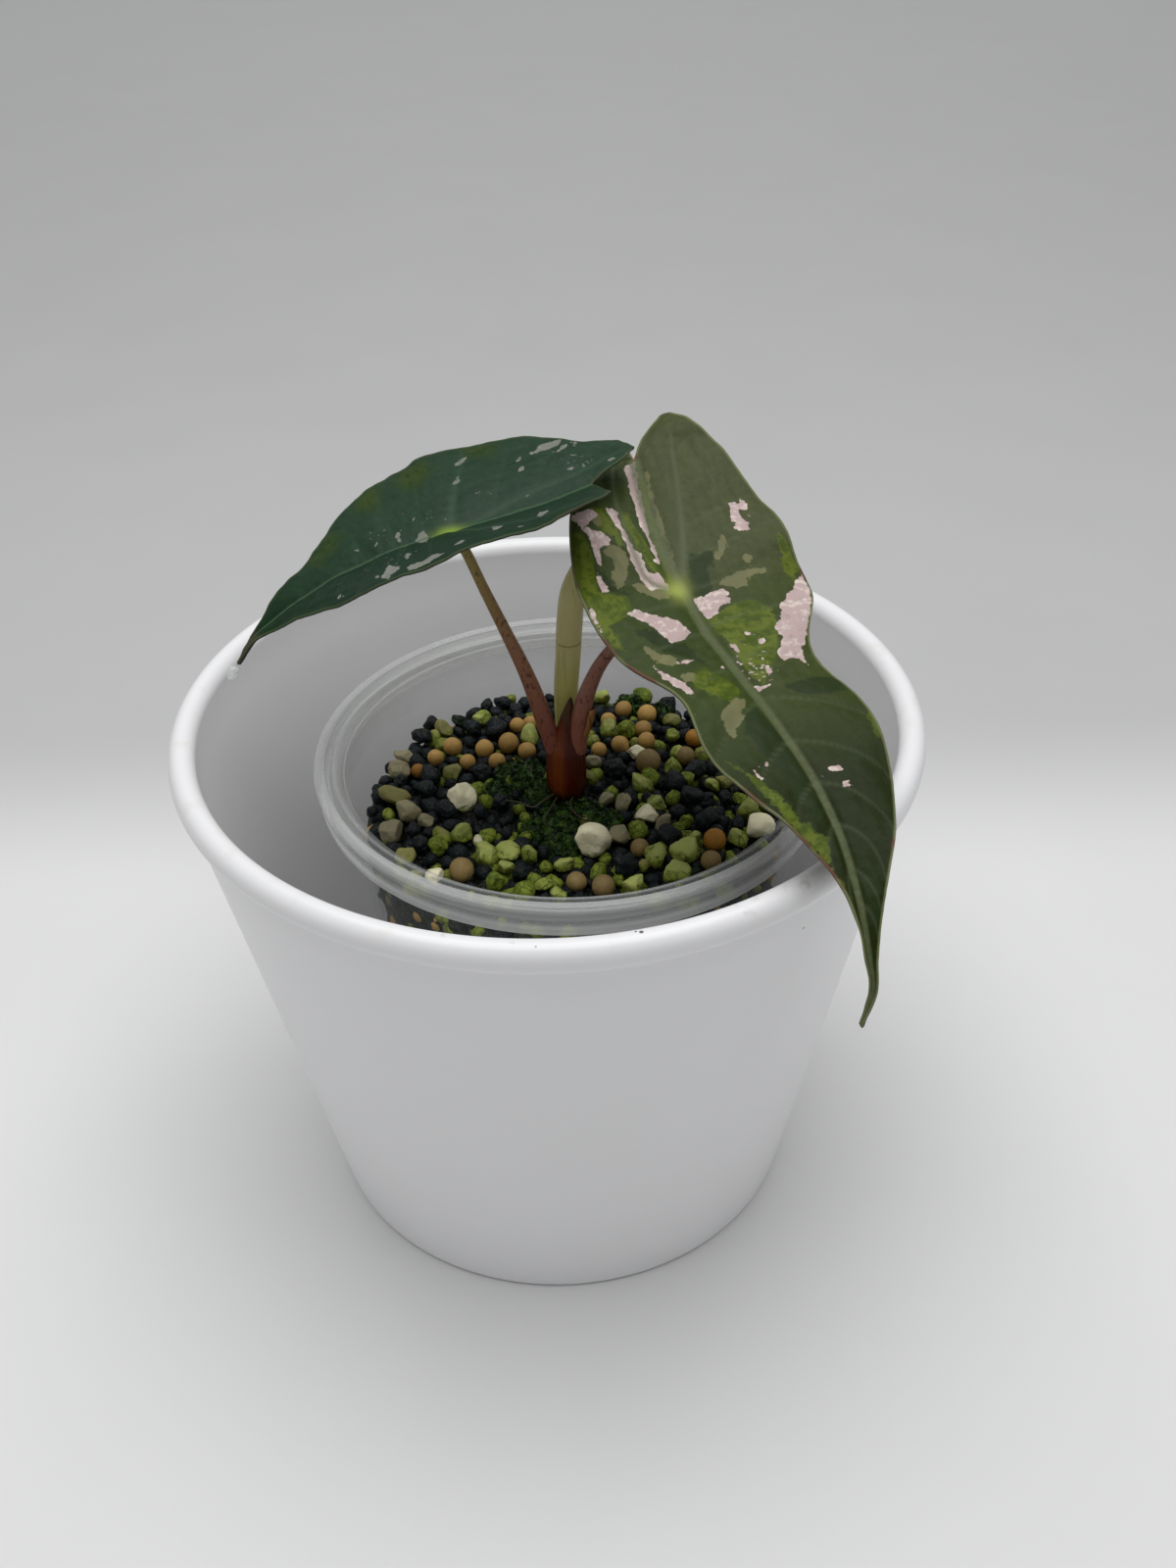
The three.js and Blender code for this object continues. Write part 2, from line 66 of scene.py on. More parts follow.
class Signal:
    """A socket that carries one number, with arithmetic that adds Math nodes."""

    def __init__(self, bench: "Bench", socket: bpy.types.NodeSocket) -> None:
        """Wraps a socket.

        Args:
            bench: The bench that the socket's node stands on.
            socket: The output socket.
        """
        self.bench = bench
        self.socket = socket

    def _math(self, operation: str, *terms: Union[float, "Signal"]) -> "Signal":
        """Adds a Math node.

        Args:
            operation: The node's operation.
            terms: Its inputs, in order.

        Returns:
            The node's result.
        """
        node = self.bench.node("ShaderNodeMath", {"operation": operation}, dict(enumerate(terms)))
        return Signal(self.bench, node.outputs[0])

    def __add__(self, other: Union[float, "Signal"]) -> "Signal":
        """Sum."""
        return self._math("ADD", self, other)

    def __sub__(self, other: Union[float, "Signal"]) -> "Signal":
        """Difference."""
        return self._math("SUBTRACT", self, other)

    def __rsub__(self, other: float) -> "Signal":
        """Difference from a number."""
        return self._math("SUBTRACT", other, self)

    def __mul__(self, other: Union[float, "Signal"]) -> "Signal":
        """Product."""
        return self._math("MULTIPLY", self, other)

    def __truediv__(self, other: Union[float, "Signal"]) -> "Signal":
        """Quotient."""
        return self._math("DIVIDE", self, other)

    def __pow__(self, power: float) -> "Signal":
        """Power."""
        return self._math("POWER", self, power)

    def __or__(self, other: "Signal") -> "Signal":
        """The larger of two masks."""
        return self._math("MAXIMUM", self, other)

    __radd__ = __add__
    __rmul__ = __mul__

    def step(self, low: float, high: float) -> "Signal":
        """A smooth step from 0 to 1.

        Args:
            low: Where the step starts.
            high: Where it ends. A value below low turns the step round.

        Returns:
            The stepped value.
        """
        node = self.bench.node("ShaderNodeMapRange", {"interpolation_type": "SMOOTHSTEP"},
                               {0: self, 1: low, 2: high})
        return Signal(self.bench, node.outputs[0])


class Bench:
    """A node tree that is filled one node at a time."""

    def __init__(self, tree: bpy.types.NodeTree) -> None:
        """Takes the tree to fill."""
        self.tree = tree

    def node(self, kind: str, settings: dict[str, object] | None = None,
             values: dict[str | int, Value] | None = None) -> bpy.types.Node:
        """Adds a node.

        Args:
            kind: The node's type.
            settings: Its properties, set before its sockets.
            values: A number, vector, socket or Signal for each socket, by name or place.

        Returns:
            The node.
        """
        node = self.tree.nodes.new(kind)
        for name, value in (settings or {}).items():
            setattr(node, name, value)
        for key, value in (values or {}).items():
            source = value.socket if isinstance(value, Signal) else value
            socket = node.inputs[key]
            if isinstance(source, bpy.types.NodeSocket):
                self.tree.links.new(source, socket)
            elif isinstance(source, tuple) and socket.type == "RGBA":
                socket.default_value = (*source[:3], 1.0)
            else:
                socket.default_value = source
        return node


class ShaderBench(Bench):
    """A material's node tree, with the few patterns that the finishes share."""

    def place(self, stretch: Point = (1, 1, 1), source: str | None = None) -> bpy.types.NodeSocket:
        """Millimetres to lay a pattern on.

        Args:
            stretch: Factors for the three directions.
            source: A vector attribute in millimetres, or None for the piece's own place.

        Returns:
            A vector socket.
        """
        if source:
            vector, scale = self.node("ShaderNodeAttribute", {"attribute_name": source}).outputs["Vector"], 1.0
        else:
            vector, scale = self.node("ShaderNodeTexCoord").outputs["Object"], 1 / MM
        factors = tuple(scale * part for part in stretch)
        return self.node("ShaderNodeVectorMath", {"operation": "MULTIPLY"}, {0: vector, 1: factors}).outputs[0]

    def part(self, vector: bpy.types.NodeSocket, axis: str) -> Signal:
        """One component of a vector: X, Y or Z."""
        return Signal(self, self.node("ShaderNodeSeparateXYZ", values={0: vector}).outputs[axis])

    def mark(self, name: str) -> Signal:
        """A number kept on the mesh."""
        return Signal(self, self.node("ShaderNodeAttribute", {"attribute_name": name}).outputs["Fac"])

    def tint(self, name: str) -> bpy.types.NodeSocket:
        """A colour kept on the mesh."""
        return self.node("ShaderNodeAttribute", {"attribute_name": name}).outputs["Color"]

    def noise(self, vector: bpy.types.NodeSocket, scale: float, detail: float = 2.0,
              distortion: float = 0.0) -> Signal:
        """Soft noise round 0.

        Args:
            vector: Where it is read, in millimetres.
            scale: Waves per millimetre.
            detail: Octaves.
            distortion: How far it is warped.

        Returns:
            About -0.4 to 0.4.
        """
        node = self.node("ShaderNodeTexNoise", values={
            "Vector": vector, "Scale": scale, "Detail": detail, "Distortion": distortion})
        return Signal(self, node.outputs["Fac"]) - 0.5

    def cells(self, vector: bpy.types.NodeSocket, scale: float, feature: str = "F1") -> Signal:
        """Distance to the cells of a Voronoi pattern.

        Args:
            vector: Where it is read, in millimetres.
            scale: Cells per millimetre.
            feature: F1 for the centres, DISTANCE_TO_EDGE for the walls.

        Returns:
            The distance, in cells.
        """
        node = self.node("ShaderNodeTexVoronoi", {"feature": feature}, {"Vector": vector, "Scale": scale})
        return Signal(self, node.outputs["Distance"])

    def spot(self, centre: Point, radius: float) -> Signal:
        """A soft round spot on the piece.

        Args:
            centre: Its middle, in millimetres.
            radius: Its radius.

        Returns:
            1 in the middle, 0 outside.
        """
        away = self.node("ShaderNodeVectorMath", {"operation": "DISTANCE"}, {0: self.place(), 1: centre})
        return Signal(self, away.outputs["Value"]).step(radius, 0.4 * radius)

    def mix(self, under: Value, over: Value, share: Union[float, Signal]) -> bpy.types.NodeSocket:
        """Lays one colour over another.

        Args:
            under: The colour below.
            over: The colour above.
            share: How much of the upper one shows.

        Returns:
            The mixed colour's socket.
        """
        node = self.node("ShaderNodeMix", {"data_type": "RGBA"}, {0: share, 6: under, 7: over})
        return node.outputs[2]

    def shade(self, colour: Value, gain: Signal) -> bpy.types.NodeSocket:
        """Multiplies a colour by a number.

        Args:
            colour: The colour.
            gain: The number.

        Returns:
            The colour's socket.
        """
        node = self.node("ShaderNodeVectorMath", {"operation": "SCALE"}, {0: colour, "Scale": gain})
        return node.outputs[0]

    def surface(self, values: dict[str, Value], height: Signal | None = None) -> bpy.types.NodeSocket:
        """A Principled shader.

        Args:
            values: Its sockets.
            height: Relief in millimetres, or None.

        Returns:
            The shader's socket.
        """
        if height is not None:
            bump = self.node("ShaderNodeBump", values={"Height": height, "Distance": MM, "Strength": 1.0})
            values = {**values, "Normal": bump.outputs[0]}
        return self.node("ShaderNodeBsdfPrincipled", values=values).outputs[0]


class Recipe(Bench):
    """A Geometry Nodes tree with named inputs, grown on a mesh and turned into a plain mesh."""

    def __init__(self, name: str, inputs: dict[str, str]) -> None:
        """Starts the tree.

        Args:
            name: The tree's name.
            inputs: Socket type for each named input.
        """
        super().__init__(bpy.data.node_groups.new(name, "GeometryNodeTree"))
        faces = self.tree.interface
        faces.new_socket("Geometry", in_out="INPUT", socket_type="NodeSocketGeometry")
        faces.new_socket("Geometry", in_out="OUTPUT", socket_type="NodeSocketGeometry")
        self.keys = {title: faces.new_socket(title, in_out="INPUT", socket_type=kind).identifier
                     for title, kind in inputs.items()}
        self.given = self.node("NodeGroupInput").outputs

    def reading(self, name: str, kind: str = "FLOAT") -> bpy.types.NodeSocket:
        """A named attribute's socket."""
        return self.node("GeometryNodeInputNamedAttribute", {"data_type": kind}, {"Name": name}).outputs[0]

    def close(self, geometry: bpy.types.NodeSocket) -> None:
        """Ends the tree: real geometry, smooth, with the Finish input as its material.

        Args:
            geometry: What the tree has made.
        """
        real = self.node("GeometryNodeRealizeInstances", values={0: geometry}).outputs[0]
        smooth = self.node("GeometryNodeSetShadeSmooth", values={0: real}).outputs[0]
        done = self.node("GeometryNodeSetMaterial", values={0: smooth, "Material": self.given["Finish"]})
        self.node("NodeGroupOutput", values={0: done.outputs[0]})

    def grow(self, piece: bpy.types.Object, values: dict[str, object]) -> bpy.types.Object:
        """Runs the tree on a piece.

        Args:
            piece: The object whose mesh it starts from.
            values: A value for each named input.

        Returns:
            The same object with the grown mesh and no modifier.
        """
        modifier = piece.modifiers.new("grow", "NODES")
        modifier.node_group = self.tree
        for title, value in values.items():
            modifier[self.keys[title]] = value
        graph = bpy.context.evaluated_depsgraph_get()
        grown = bpy.data.meshes.new_from_object(piece.evaluated_get(graph), depsgraph=graph)
        piece.modifiers.clear()
        piece.data = grown
        return piece


# Shapes


@dataclass
class Shell:
    """A mesh in millimetres, with numbers or vectors kept on its points."""

    points: np.ndarray
    faces: list[tuple[int, ...]]
    marks: dict[str, np.ndarray] = field(default_factory=dict)

    def piece(self, name: str, finish: "Finish | None" = None) -> bpy.types.Object:
        """Makes the object.

        Args:
            name: The object's name.
            finish: Its finish, if it has one yet.

        Returns:
            The object, linked to the scene.
        """
        mesh = bpy.data.meshes.new(name)
        mesh.from_pydata((self.points * MM).tolist(), [], self.faces)
        for title, numbers in self.marks.items():
            wide = numbers.ndim == 2
            kind = "FLOAT_VECTOR" if wide else "INT" if numbers.dtype.kind == "i" else "FLOAT"
            layer = mesh.attributes.new(title, kind, "POINT")
            layer.data.foreach_set("vector" if wide else "value", numbers.ravel())
        mesh.shade_smooth()
        if finish:
            mesh.materials.append(finish.material())
        piece = bpy.data.objects.new(name, mesh)
        bpy.context.scene.collection.objects.link(piece)
        return piece


def joined(shells: Sequence[Shell]) -> Shell:
    """Puts shells into one.

    Args:
        shells: Shells with the same marks.

    Returns:
        One shell.
    """
    starts = np.cumsum([0] + [len(shell.points) for shell in shells])
    faces = [tuple(int(i + start) for i in face)
             for shell, start in zip(shells, starts) for face in shell.faces]
    marks = {title: np.concatenate([shell.marks[title] for shell in shells]) for title in shells[0].marks}
    return Shell(np.concatenate([shell.points for shell in shells]), faces, marks)


def dressed(piece: bpy.types.Object, slot: str, *nodes: str) -> bpy.types.Object:
    """Hangs a finished piece on the model.

    Args:
        piece: The piece.
        slot: Not used.
        nodes: The plain nodes that it stands for.

    Returns:
        The piece.
    """
    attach(piece, "root")
    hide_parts(*nodes)
    return piece


def smooth_curve(points: Sequence[Sequence[float]], shares: np.ndarray) -> np.ndarray:
    """A smooth curve through points, evenly timed from one to the next.

    Args:
        points: The points.
        shares: Where to read it, from 0 to 1.

    Returns:
        One row for each share.
    """
    given = np.asarray(points, float)
    knots = np.vstack([2 * given[0] - given[1], given, 2 * given[-1] - given[-2]])
    spans = len(given) - 1
    place = np.clip(shares, 0, 1) * spans
    index = np.minimum(place.astype(int), spans - 1)
    t = (place - index)[:, None]
    before, start, end, after = (knots[index + k] for k in range(4))
    leave, arrive = (end - before) / 2, (after - start) / 2
    return (start + leave * t + (3 * (end - start) - 2 * leave - arrive) * t ** 2
            + (2 * (start - end) + leave + arrive) * t ** 3)


def unit(vectors: np.ndarray) -> np.ndarray:
    """Vectors of length 1."""
    return vectors / np.maximum(np.linalg.norm(vectors, axis=-1, keepdims=True), 1e-9)


def arc(centre: Flat, size: Flat, start: float, end: float, steps: int) -> list[Flat]:
    """Points on part of an ellipse.

    Args:
        centre: Radius and height of its centre.
        size: Half its width and height.
        start: First angle in degrees.
        end: Last angle.
        steps: Number of spans.

    Returns:
        Profile points.
    """
    angles = [math.radians(start + (end - start) * k / steps) for k in range(steps + 1)]
    return [(centre[0] + size[0] * math.cos(a), centre[1] + size[1] * math.sin(a)) for a in angles]


def spaced(profile: Sequence[Flat], step: float) -> list[Flat]:
    """Adds points to the long spans of a profile.

    Args:
        profile: Radius and height of each point.
        step: The longest span that stays.

    Returns:
        The finer profile.
    """
    fine = [profile[0]]
    for start, end in zip(profile, profile[1:]):
        count = max(1, math.ceil(math.dist(start, end) / step))
        fine += [(start[0] + (end[0] - start[0]) * k / count, start[1] + (end[1] - start[1]) * k / count)
                 for k in range(1, count + 1)]
    return fine


def turned(profile: Sequence[Flat], sides: int, centre: Flat = (0, 0)) -> Shell:
    """Turns a profile round an upright axis.

    Args:
        profile: Radius and height, from the axis below, up outside, back to the axis.
        sides: Number of sides.
        centre: Where the axis stands.

    Returns:
        A closed shell that faces outwards.
    """
    points: list[Point] = []
    rings = []
    angles = np.arange(sides) * TAU / sides
    for radius, height in profile:
        turn = angles if radius > AXIS else angles[:1]
        rings.append(range(len(points), len(points) + len(turn)))
        points += [(centre[0] + radius * math.cos(a), centre[1] + radius * math.sin(a), height) for a in turn]
    faces = []
    for low, high in zip(rings, rings[1:]):
        for k in range(sides):
            after = k + 1
            corners = (low[k % len(low)], low[after % len(low)], high[after % len(high)], high[k % len(high)])
            face = tuple(dict.fromkeys(corners))
            if len(face) > 2:
                faces.append(face)
    return Shell(np.array(points), faces)


def swept(path: np.ndarray, radii: np.ndarray, section: np.ndarray) -> Shell:
    """A closed tube along a path.

    Args:
        path: Points of the path.
        radii: Its radius at each point.
        section: The cross-section as points round a circle of radius 1.

    Returns:
        A closed shell.
    """
    ahead = unit(np.gradient(path, axis=0))
    side = unit(np.cross(ahead[0], (0.0, 1.0, 0.0)))
    rows = []
    for point, radius, forward in zip(path, radii, ahead):
        side = unit(side - forward * side.dot(forward))
        other = np.cross(forward, side)
        rows.append(point + radius * (section[:, :1] * side + section[:, 1:] * other))
    around, count = len(section), len(path)
    points = np.vstack(rows + [path[:1], path[-1:]])
    faces = [(i * around + k, i * around + (k + 1) % around, (i + 1) * around + (k + 1) % around,
              (i + 1) * around + k) for i in range(count - 1) for k in range(around)]
    last = (count - 1) * around
    for k in range(around):
        following = (k + 1) % around
        faces += [(count * around, following, k), (count * around + 1, last + k, last + following)]
    return Shell(points, faces)


def smooth_noise(points: np.ndarray, size: float, seed: int) -> np.ndarray:
    """Gentle made-up unevenness over a shape.

    Args:
        points: Where it is read.
        size: Length of its waves.
        seed: Fixes which waves.

    Returns:
        About -1 to 1 for each point.
    """
    rng = np.random.default_rng(seed)
    waves = unit(rng.normal(size=(7, 3))) * TAU / size * rng.uniform(0.7, 1.5, (7, 1))
    return np.sin(points @ waves.T + rng.uniform(0, TAU, 7)).sum(axis=1) / 3.2


# Finishes


class Finish:
    """A finish that makes its material once."""

    title: str

    def shader(self, bench: ShaderBench) -> bpy.types.NodeSocket:
        """Builds the shader on a bench."""
        raise NotImplementedError

    def material(self) -> bpy.types.Material:
        """Makes the material, or finds the one that was made before.

        Returns:
            The material.
        """
        known = bpy.data.materials.get(self.title)
        if known:
            return known
        made = bpy.data.materials.new(self.title)
        made.use_nodes = True
        made.node_tree.nodes.clear()
        bench = ShaderBench(made.node_tree)
        bench.node("ShaderNodeOutputMaterial", values={"Surface": self.shader(bench)})
        return made


@dataclass(frozen=True)
class PotGlaze(Finish):
    """Smooth white moulding with faint unevenness and a few dark specks."""

    title: str = "white_pot"
    white: Colour = (0.88, 0.88, 0.9)
    scuffed: Colour = (0.8, 0.79, 0.76)
    grey_brown: Colour = (0.42, 0.39, 0.3)
    speck: Colour = (0.09, 0.08, 0.07)
    specks: tuple[tuple[Point, float], ...] = (
        ((-1.2, -63.5, 99.7), 0.3), ((-9.8, -64.2, 98.5), 0.22), ((14.0, -60.9, 99.7), 0.45),
        ((13.2, -60.7, 99.7), 0.3), ((22.5, -57.0, 99.7), 0.2), ((30.1, -57.2, 99.7), 0.34),
        ((39.5, -47.8, 88.6), 0.3), ((-50.0, 34.0, 99.6), 0.25))
    grey_brown_spots: tuple[tuple[Point, float], ...] = (
        ((38.0, -50.5, 99.7), 4.5), ((30.5, -55.5, 99.7), 3.5), ((44.5, -45.5, 99.7), 3.0),
        ((-4.6, -63.2, 99.7), 1.3), ((-14.0, -60.5, 99.7), 1.6))

    def shader(self, bench: ShaderBench) -> bpy.types.NodeSocket:
        """White with clouding, scuffs on the rim and foot, and specks.

        Args:
            bench: The bench to set it out on.

        Returns:
            The shader's socket.
        """
        place = bench.place()
        height = bench.part(place, "Z")
        worn = bench.noise(bench.place((1, 1, 2)), 0.16, 4).step(0.06, 0.2) * (
            height.step(97.5, 99.8) * 0.5 + height.step(4, 0) * 0.5)
        colour = bench.mix(self.white, self.scuffed, worn + bench.noise(place, 0.03, 2).step(-0.3, 0.4) * 0.25)
        for centre, radius in self.specks:
            colour = bench.mix(colour, self.speck, bench.spot(centre, radius))
        # Grey-brown patchy spots on the rim, three of them at its front right under the pink leaf.
        patchy = bench.noise(place, 0.5, 4).step(0.0, 0.25) * 0.5
        for centre, radius in self.grey_brown_spots:
            colour = bench.mix(colour, self.grey_brown, bench.spot(centre, radius) * patchy)
        rough = bench.noise(place, 0.1, 2) * 0.04 + 0.3
        relief = bench.noise(place, 0.12, 1) * 0.006
        return bench.surface({"Base Color": colour, "Roughness": rough, "IOR": 1.47}, relief)


@dataclass(frozen=True)
class ClearCup(Finish):
    """Thin clear plastic, a little milky, that grows denser where it is seen edge on, with painted highlights
    on its lips and a painted sheen edge on.
    """

    title: str = "clear_cup"
    milk: Colour = (0.36, 0.4, 0.37)
    lip_glint: Colour = (0.95, 0.96, 0.95)
    speck: Point = (-34.9, -8.7, 92.4)

    def shader(self, bench: ShaderBench) -> bpy.types.NodeSocket:
        """A see-through Principled whose alpha grows towards its edges.

        Args:
            bench: The bench to set it out on.

        Returns:
            The shader's socket.
        """
        place = bench.place()
        level = bench.part(place, "Z")
        facing = Signal(bench, bench.node("ShaderNodeLayerWeight", values={"Blend": 0.35}).outputs["Facing"])
        film = bench.noise(place, 0.12, 3, 0.4)
        brim, lip_glint = level.step(85.5, 87.0), bench.mark("lip_glint")
        speck = bench.spot(self.speck, 0.7)
        # Painted highlights: the lips turn near white and more opaque; the wall turns whiter edge on, a painted
        # sheen.
        alpha = facing ** 1.8 * 0.2 + brim * 0.01 + lip_glint * 0.28 + film.step(0.02, 0.3) * 0.03 + 0.03
        colour = bench.mix(self.milk, self.lip_glint, lip_glint | (facing ** 3))
        colour = bench.mix(colour, (0.03, 0.03, 0.03), speck)
        return bench.surface({"Base Color": colour, "Roughness": film * 0.06 + 0.12, "Alpha": alpha | speck,
                              "IOR": 1.5}, film * 0.04)


@dataclass(frozen=True)
class PrillCoat(Finish):
    """Matt fired clay or coated feed, each ball with its own tone."""

    title: str = "prill"

    def shader(self, bench: ShaderBench) -> bpy.types.NodeSocket:
        """The grain's own colour with dark pin-points and paler dust.

        Args:
            bench: The bench to set it out on.

        Returns:
            The shader's socket.
        """
        place = bench.place()
        pins = bench.cells(place, 2.1).step(0.2, 0.1) * bench.noise(place, 0.5, 1).step(0.05, 0.15)
        colour = bench.shade(bench.tint("hue"), bench.noise(place, 1.2, 4) * 0.5 + 1.0)
        colour = bench.mix(colour, (0.03, 0.015, 0.008), pins * 0.7)
        relief = bench.noise(place, 5.0, 3) * 0.05 + bench.noise(place, 1.0, 2) * 0.1
        return bench.surface({"Base Color": colour, "Roughness": 0.62, "IOR": 1.45}, relief)


@dataclass(frozen=True)
class LavaCrust(Finish):
    """Black porous rock with a painted blue-grey sheen on its lumps and painted shade in its pores."""

    title: str = "lava"
    pit_shade: Colour = (0.001, 0.002, 0.003)
    lump_sheen: Colour = (0.01, 0.016, 0.018)
    algae: Colour = (0.004, 0.018, 0.001)

    def shader(self, bench: ShaderBench) -> bpy.types.NodeSocket:
        """Black with a painted sheen on the high places, painted shade in the pores, and a green film.

        Args:
            bench: The bench to set it out on.

        Returns:
            The shader's socket.
        """
        place = bench.place()
        lumps = bench.noise(place, 1.6, 4)
        pores = bench.cells(place, 2.4).step(0.1, 0.45)
        # Painted shade: the pores are darker than the rock around them.
        colour = bench.mix(self.pit_shade, bench.tint("hue"), pores)
        # Painted sheen: blue-grey on the high places of the noise.
        colour = bench.mix(colour, self.lump_sheen, lumps.step(0.04, 0.22) * 0.6)
        colour = bench.mix(colour, self.algae, bench.noise(place, 0.25, 3).step(0.08, 0.2) * 0.7)
        return bench.surface({"Base Color": colour, "Roughness": lumps * 0.3 + 0.5, "Specular IOR Level": 0.3},
                             pores * 0.16 + lumps * 0.35)


@dataclass(frozen=True)
class PumiceFace(Finish):
    """Broken pumice, cream to white, stained lime by algae, with dark cracks."""

    title: str = "pumice"
    film: Colour = (0.22, 0.27, 0.02)
    deep: Colour = (0.03, 0.075, 0.002)
    crack: Colour = (0.035, 0.045, 0.006)
    damp_level: float = 80.5

    def shader(self, bench: ShaderBench) -> bpy.types.NodeSocket:
        """The grain's own colour under algae that grows in patches and in the cracks.

        Args:
            bench: The bench to set it out on.

        Returns:
            The shader's socket.
        """
        place = bench.place()
        cloud = bench.noise(place, 0.55, 4, 0.5)
        grit = bench.noise(place, 3.5, 4)
        damp = (bench.part(place, "Z") - self.damp_level) * -0.2
        growth = (cloud + bench.mark("algae") + damp - 0.5).step(-0.12, 0.16)
        lines = bench.cells(place, 0.55, "DISTANCE_TO_EDGE").step(0.05, 0.0) * growth.step(0.1, 0.7)
        colour = bench.shade(bench.tint("hue"), grit * 0.45 + 1.0)
        green = bench.mix(self.film, self.deep, bench.noise(place, 1.1, 3).step(-0.05, 0.2) * 0.75)
        colour = bench.mix(colour, green, growth * 0.8)
        colour = bench.mix(colour, self.crack, lines * 0.75)
        return bench.surface({"Base Color": colour, "Roughness": 0.66, "IOR": 1.4},
                             grit * 0.14 + cloud * 0.3 - lines * 0.1)


@dataclass(frozen=True)
class ShadedFines(Finish):
    """The fines between the grains, painted near black for the shade in the gaps, with moss and a few pale
    crumbs.
    """

    title: str = "shaded_fines"
    gap_shade: Colour = (0.002, 0.004, 0.001)
    mossy: Colour = (0.005, 0.015, 0.001)
    pale: Colour = (0.018, 0.022, 0.008)

    def shader(self, bench: ShaderBench) -> bpy.types.NodeSocket:
        """Near black with moss and a few pale crumbs.

        Args:
            bench: The bench to set it out on.

        Returns:
            The shader's socket.
        """
        place = bench.place()
        # The near-black base is painted shade for the deep gaps between the grains.
        colour = bench.mix(self.gap_shade, self.mossy, bench.noise(place, 0.2, 4).step(-0.05, 0.2))
        colour = bench.mix(colour, self.pale, bench.noise(place, 1.1, 3).step(0.16, 0.26) * 0.6)
        crumbs = bench.cells(place, 1.3)
        return bench.surface({"Base Color": colour, "Roughness": 0.55, "IOR": 1.4}, crumbs * -0.5)


@dataclass(frozen=True)
class MossGreen(Finish):
    """Tiny dark green leaves, darker and brighter in patches."""

    title: str = "moss"
    low: Colour = (0.003, 0.016, 0.001)
    high: Colour = (0.05, 0.12, 0.006)

    def shader(self, bench: ShaderBench) -> bpy.types.NodeSocket:
        """Dark green that varies from tuft to tuft.

        Args:
            bench: The bench to set it out on.

        Returns:
            The shader's socket.
        """
        place = bench.place()
        colour = bench.mix(self.low, self.high, bench.noise(place, 0.7, 3).step(-0.15, 0.25))
        return bench.surface({"Base Color": colour, "Roughness": 0.5, "IOR": 1.4},
                             bench.noise(place, 4.0, 2) * 0.15)


@dataclass(frozen=True)
class BulbSkin(Finish):
    """Satin sheath, maroon with an orange stripe, black at the foot and a dark horn at the top."""

    title: str = "bulb_skin"
    maroon: Colour = (0.06, 0.005, 0.001)
    orange: Colour = (0.2, 0.04, 0.004)
    foot: Colour = (0.004, 0.003, 0.002)
    horn: Colour = (0.078, 0.031, 0.009)
    tip: Colour = (0.012, 0.005, 0.004)
    stripe: float = 1.6

    def shader(self, bench: ShaderBench) -> bpy.types.NodeSocket:
        """Vertical streaks over a stripe, with dark ends.

        Args:
            bench: The bench to set it out on.

        Returns:
            The shader's socket.
        """
        place = bench.place()
        across, height = bench.part(place, "X"), bench.part(place, "Z")
        streak = bench.noise(bench.place((1, 1, 0.16)), 1.6, 4)
        beside = across - self.stripe + streak * 1.2
        near = beside.step(-2.6, -0.2) * beside.step(2.0, 0.2)
        colour = bench.mix(self.maroon, self.orange, near * (streak * 0.9 + 0.75))
        colour = bench.mix(colour, self.horn, (height + streak * 5).step(94.0, 98.0))
        colour = bench.mix(colour, self.tip, (height + streak * 3).step(99.6, 101.0))
        colour = bench.mix(colour, self.foot, (height + streak * 3).step(82.8, 80.6))
        fibres = bench.noise(bench.place((1, 1, 0.05)), 5.0, 3)
        return bench.surface({"Base Color": colour, "Roughness": streak * 0.2 + 0.36,
                              "Specular IOR Level": 0.3}, fibres * 0.14 + streak * 0.2)


@dataclass(frozen=True)
class StemSkin(Finish):
    """A petiole: reddish below, olive above, flecked with dark dashes."""

    title: str = "petiole_skin"
    low: Colour = (0.24, 0.075, 0.05)
    middle: Colour = (0.3, 0.13, 0.07)
    high: Colour = (0.28, 0.21, 0.05)
    fleck: Colour = (0.08, 0.022, 0.018)
    turn: Flat = (0.35, 0.8)

    def shader(self, bench: ShaderBench) -> bpy.types.NodeSocket:
        """Colour by the share of the stem's length, with dashes and fine streaks.

        Args:
            bench: The bench to set it out on.

        Returns:
            The shader's socket.
        """
        along = bench.mark("along")
        streak = bench.noise(bench.place((1, 1, 0.2)), 1.8, 3)
        middle, high = self.turn
        colour = bench.mix(self.low, self.middle, (along + streak * 0.2).step(middle - 0.25, middle))
        colour = bench.mix(colour, self.high, (along + streak * 0.25).step(middle, high))
        dash = bench.noise(bench.place((1, 1, 0.55)), 1.5, 1).step(0.11, 0.17)
        dots = bench.cells(bench.place((1, 1, 0.6)), 1.7).step(0.16, 0.1)
        colour = bench.mix(colour, self.fleck, (dash * 0.75) | (dots * 0.7))
        return bench.surface({"Base Color": colour, "Roughness": 0.42, "Specular IOR Level": 0.35},
                             streak * 0.1)


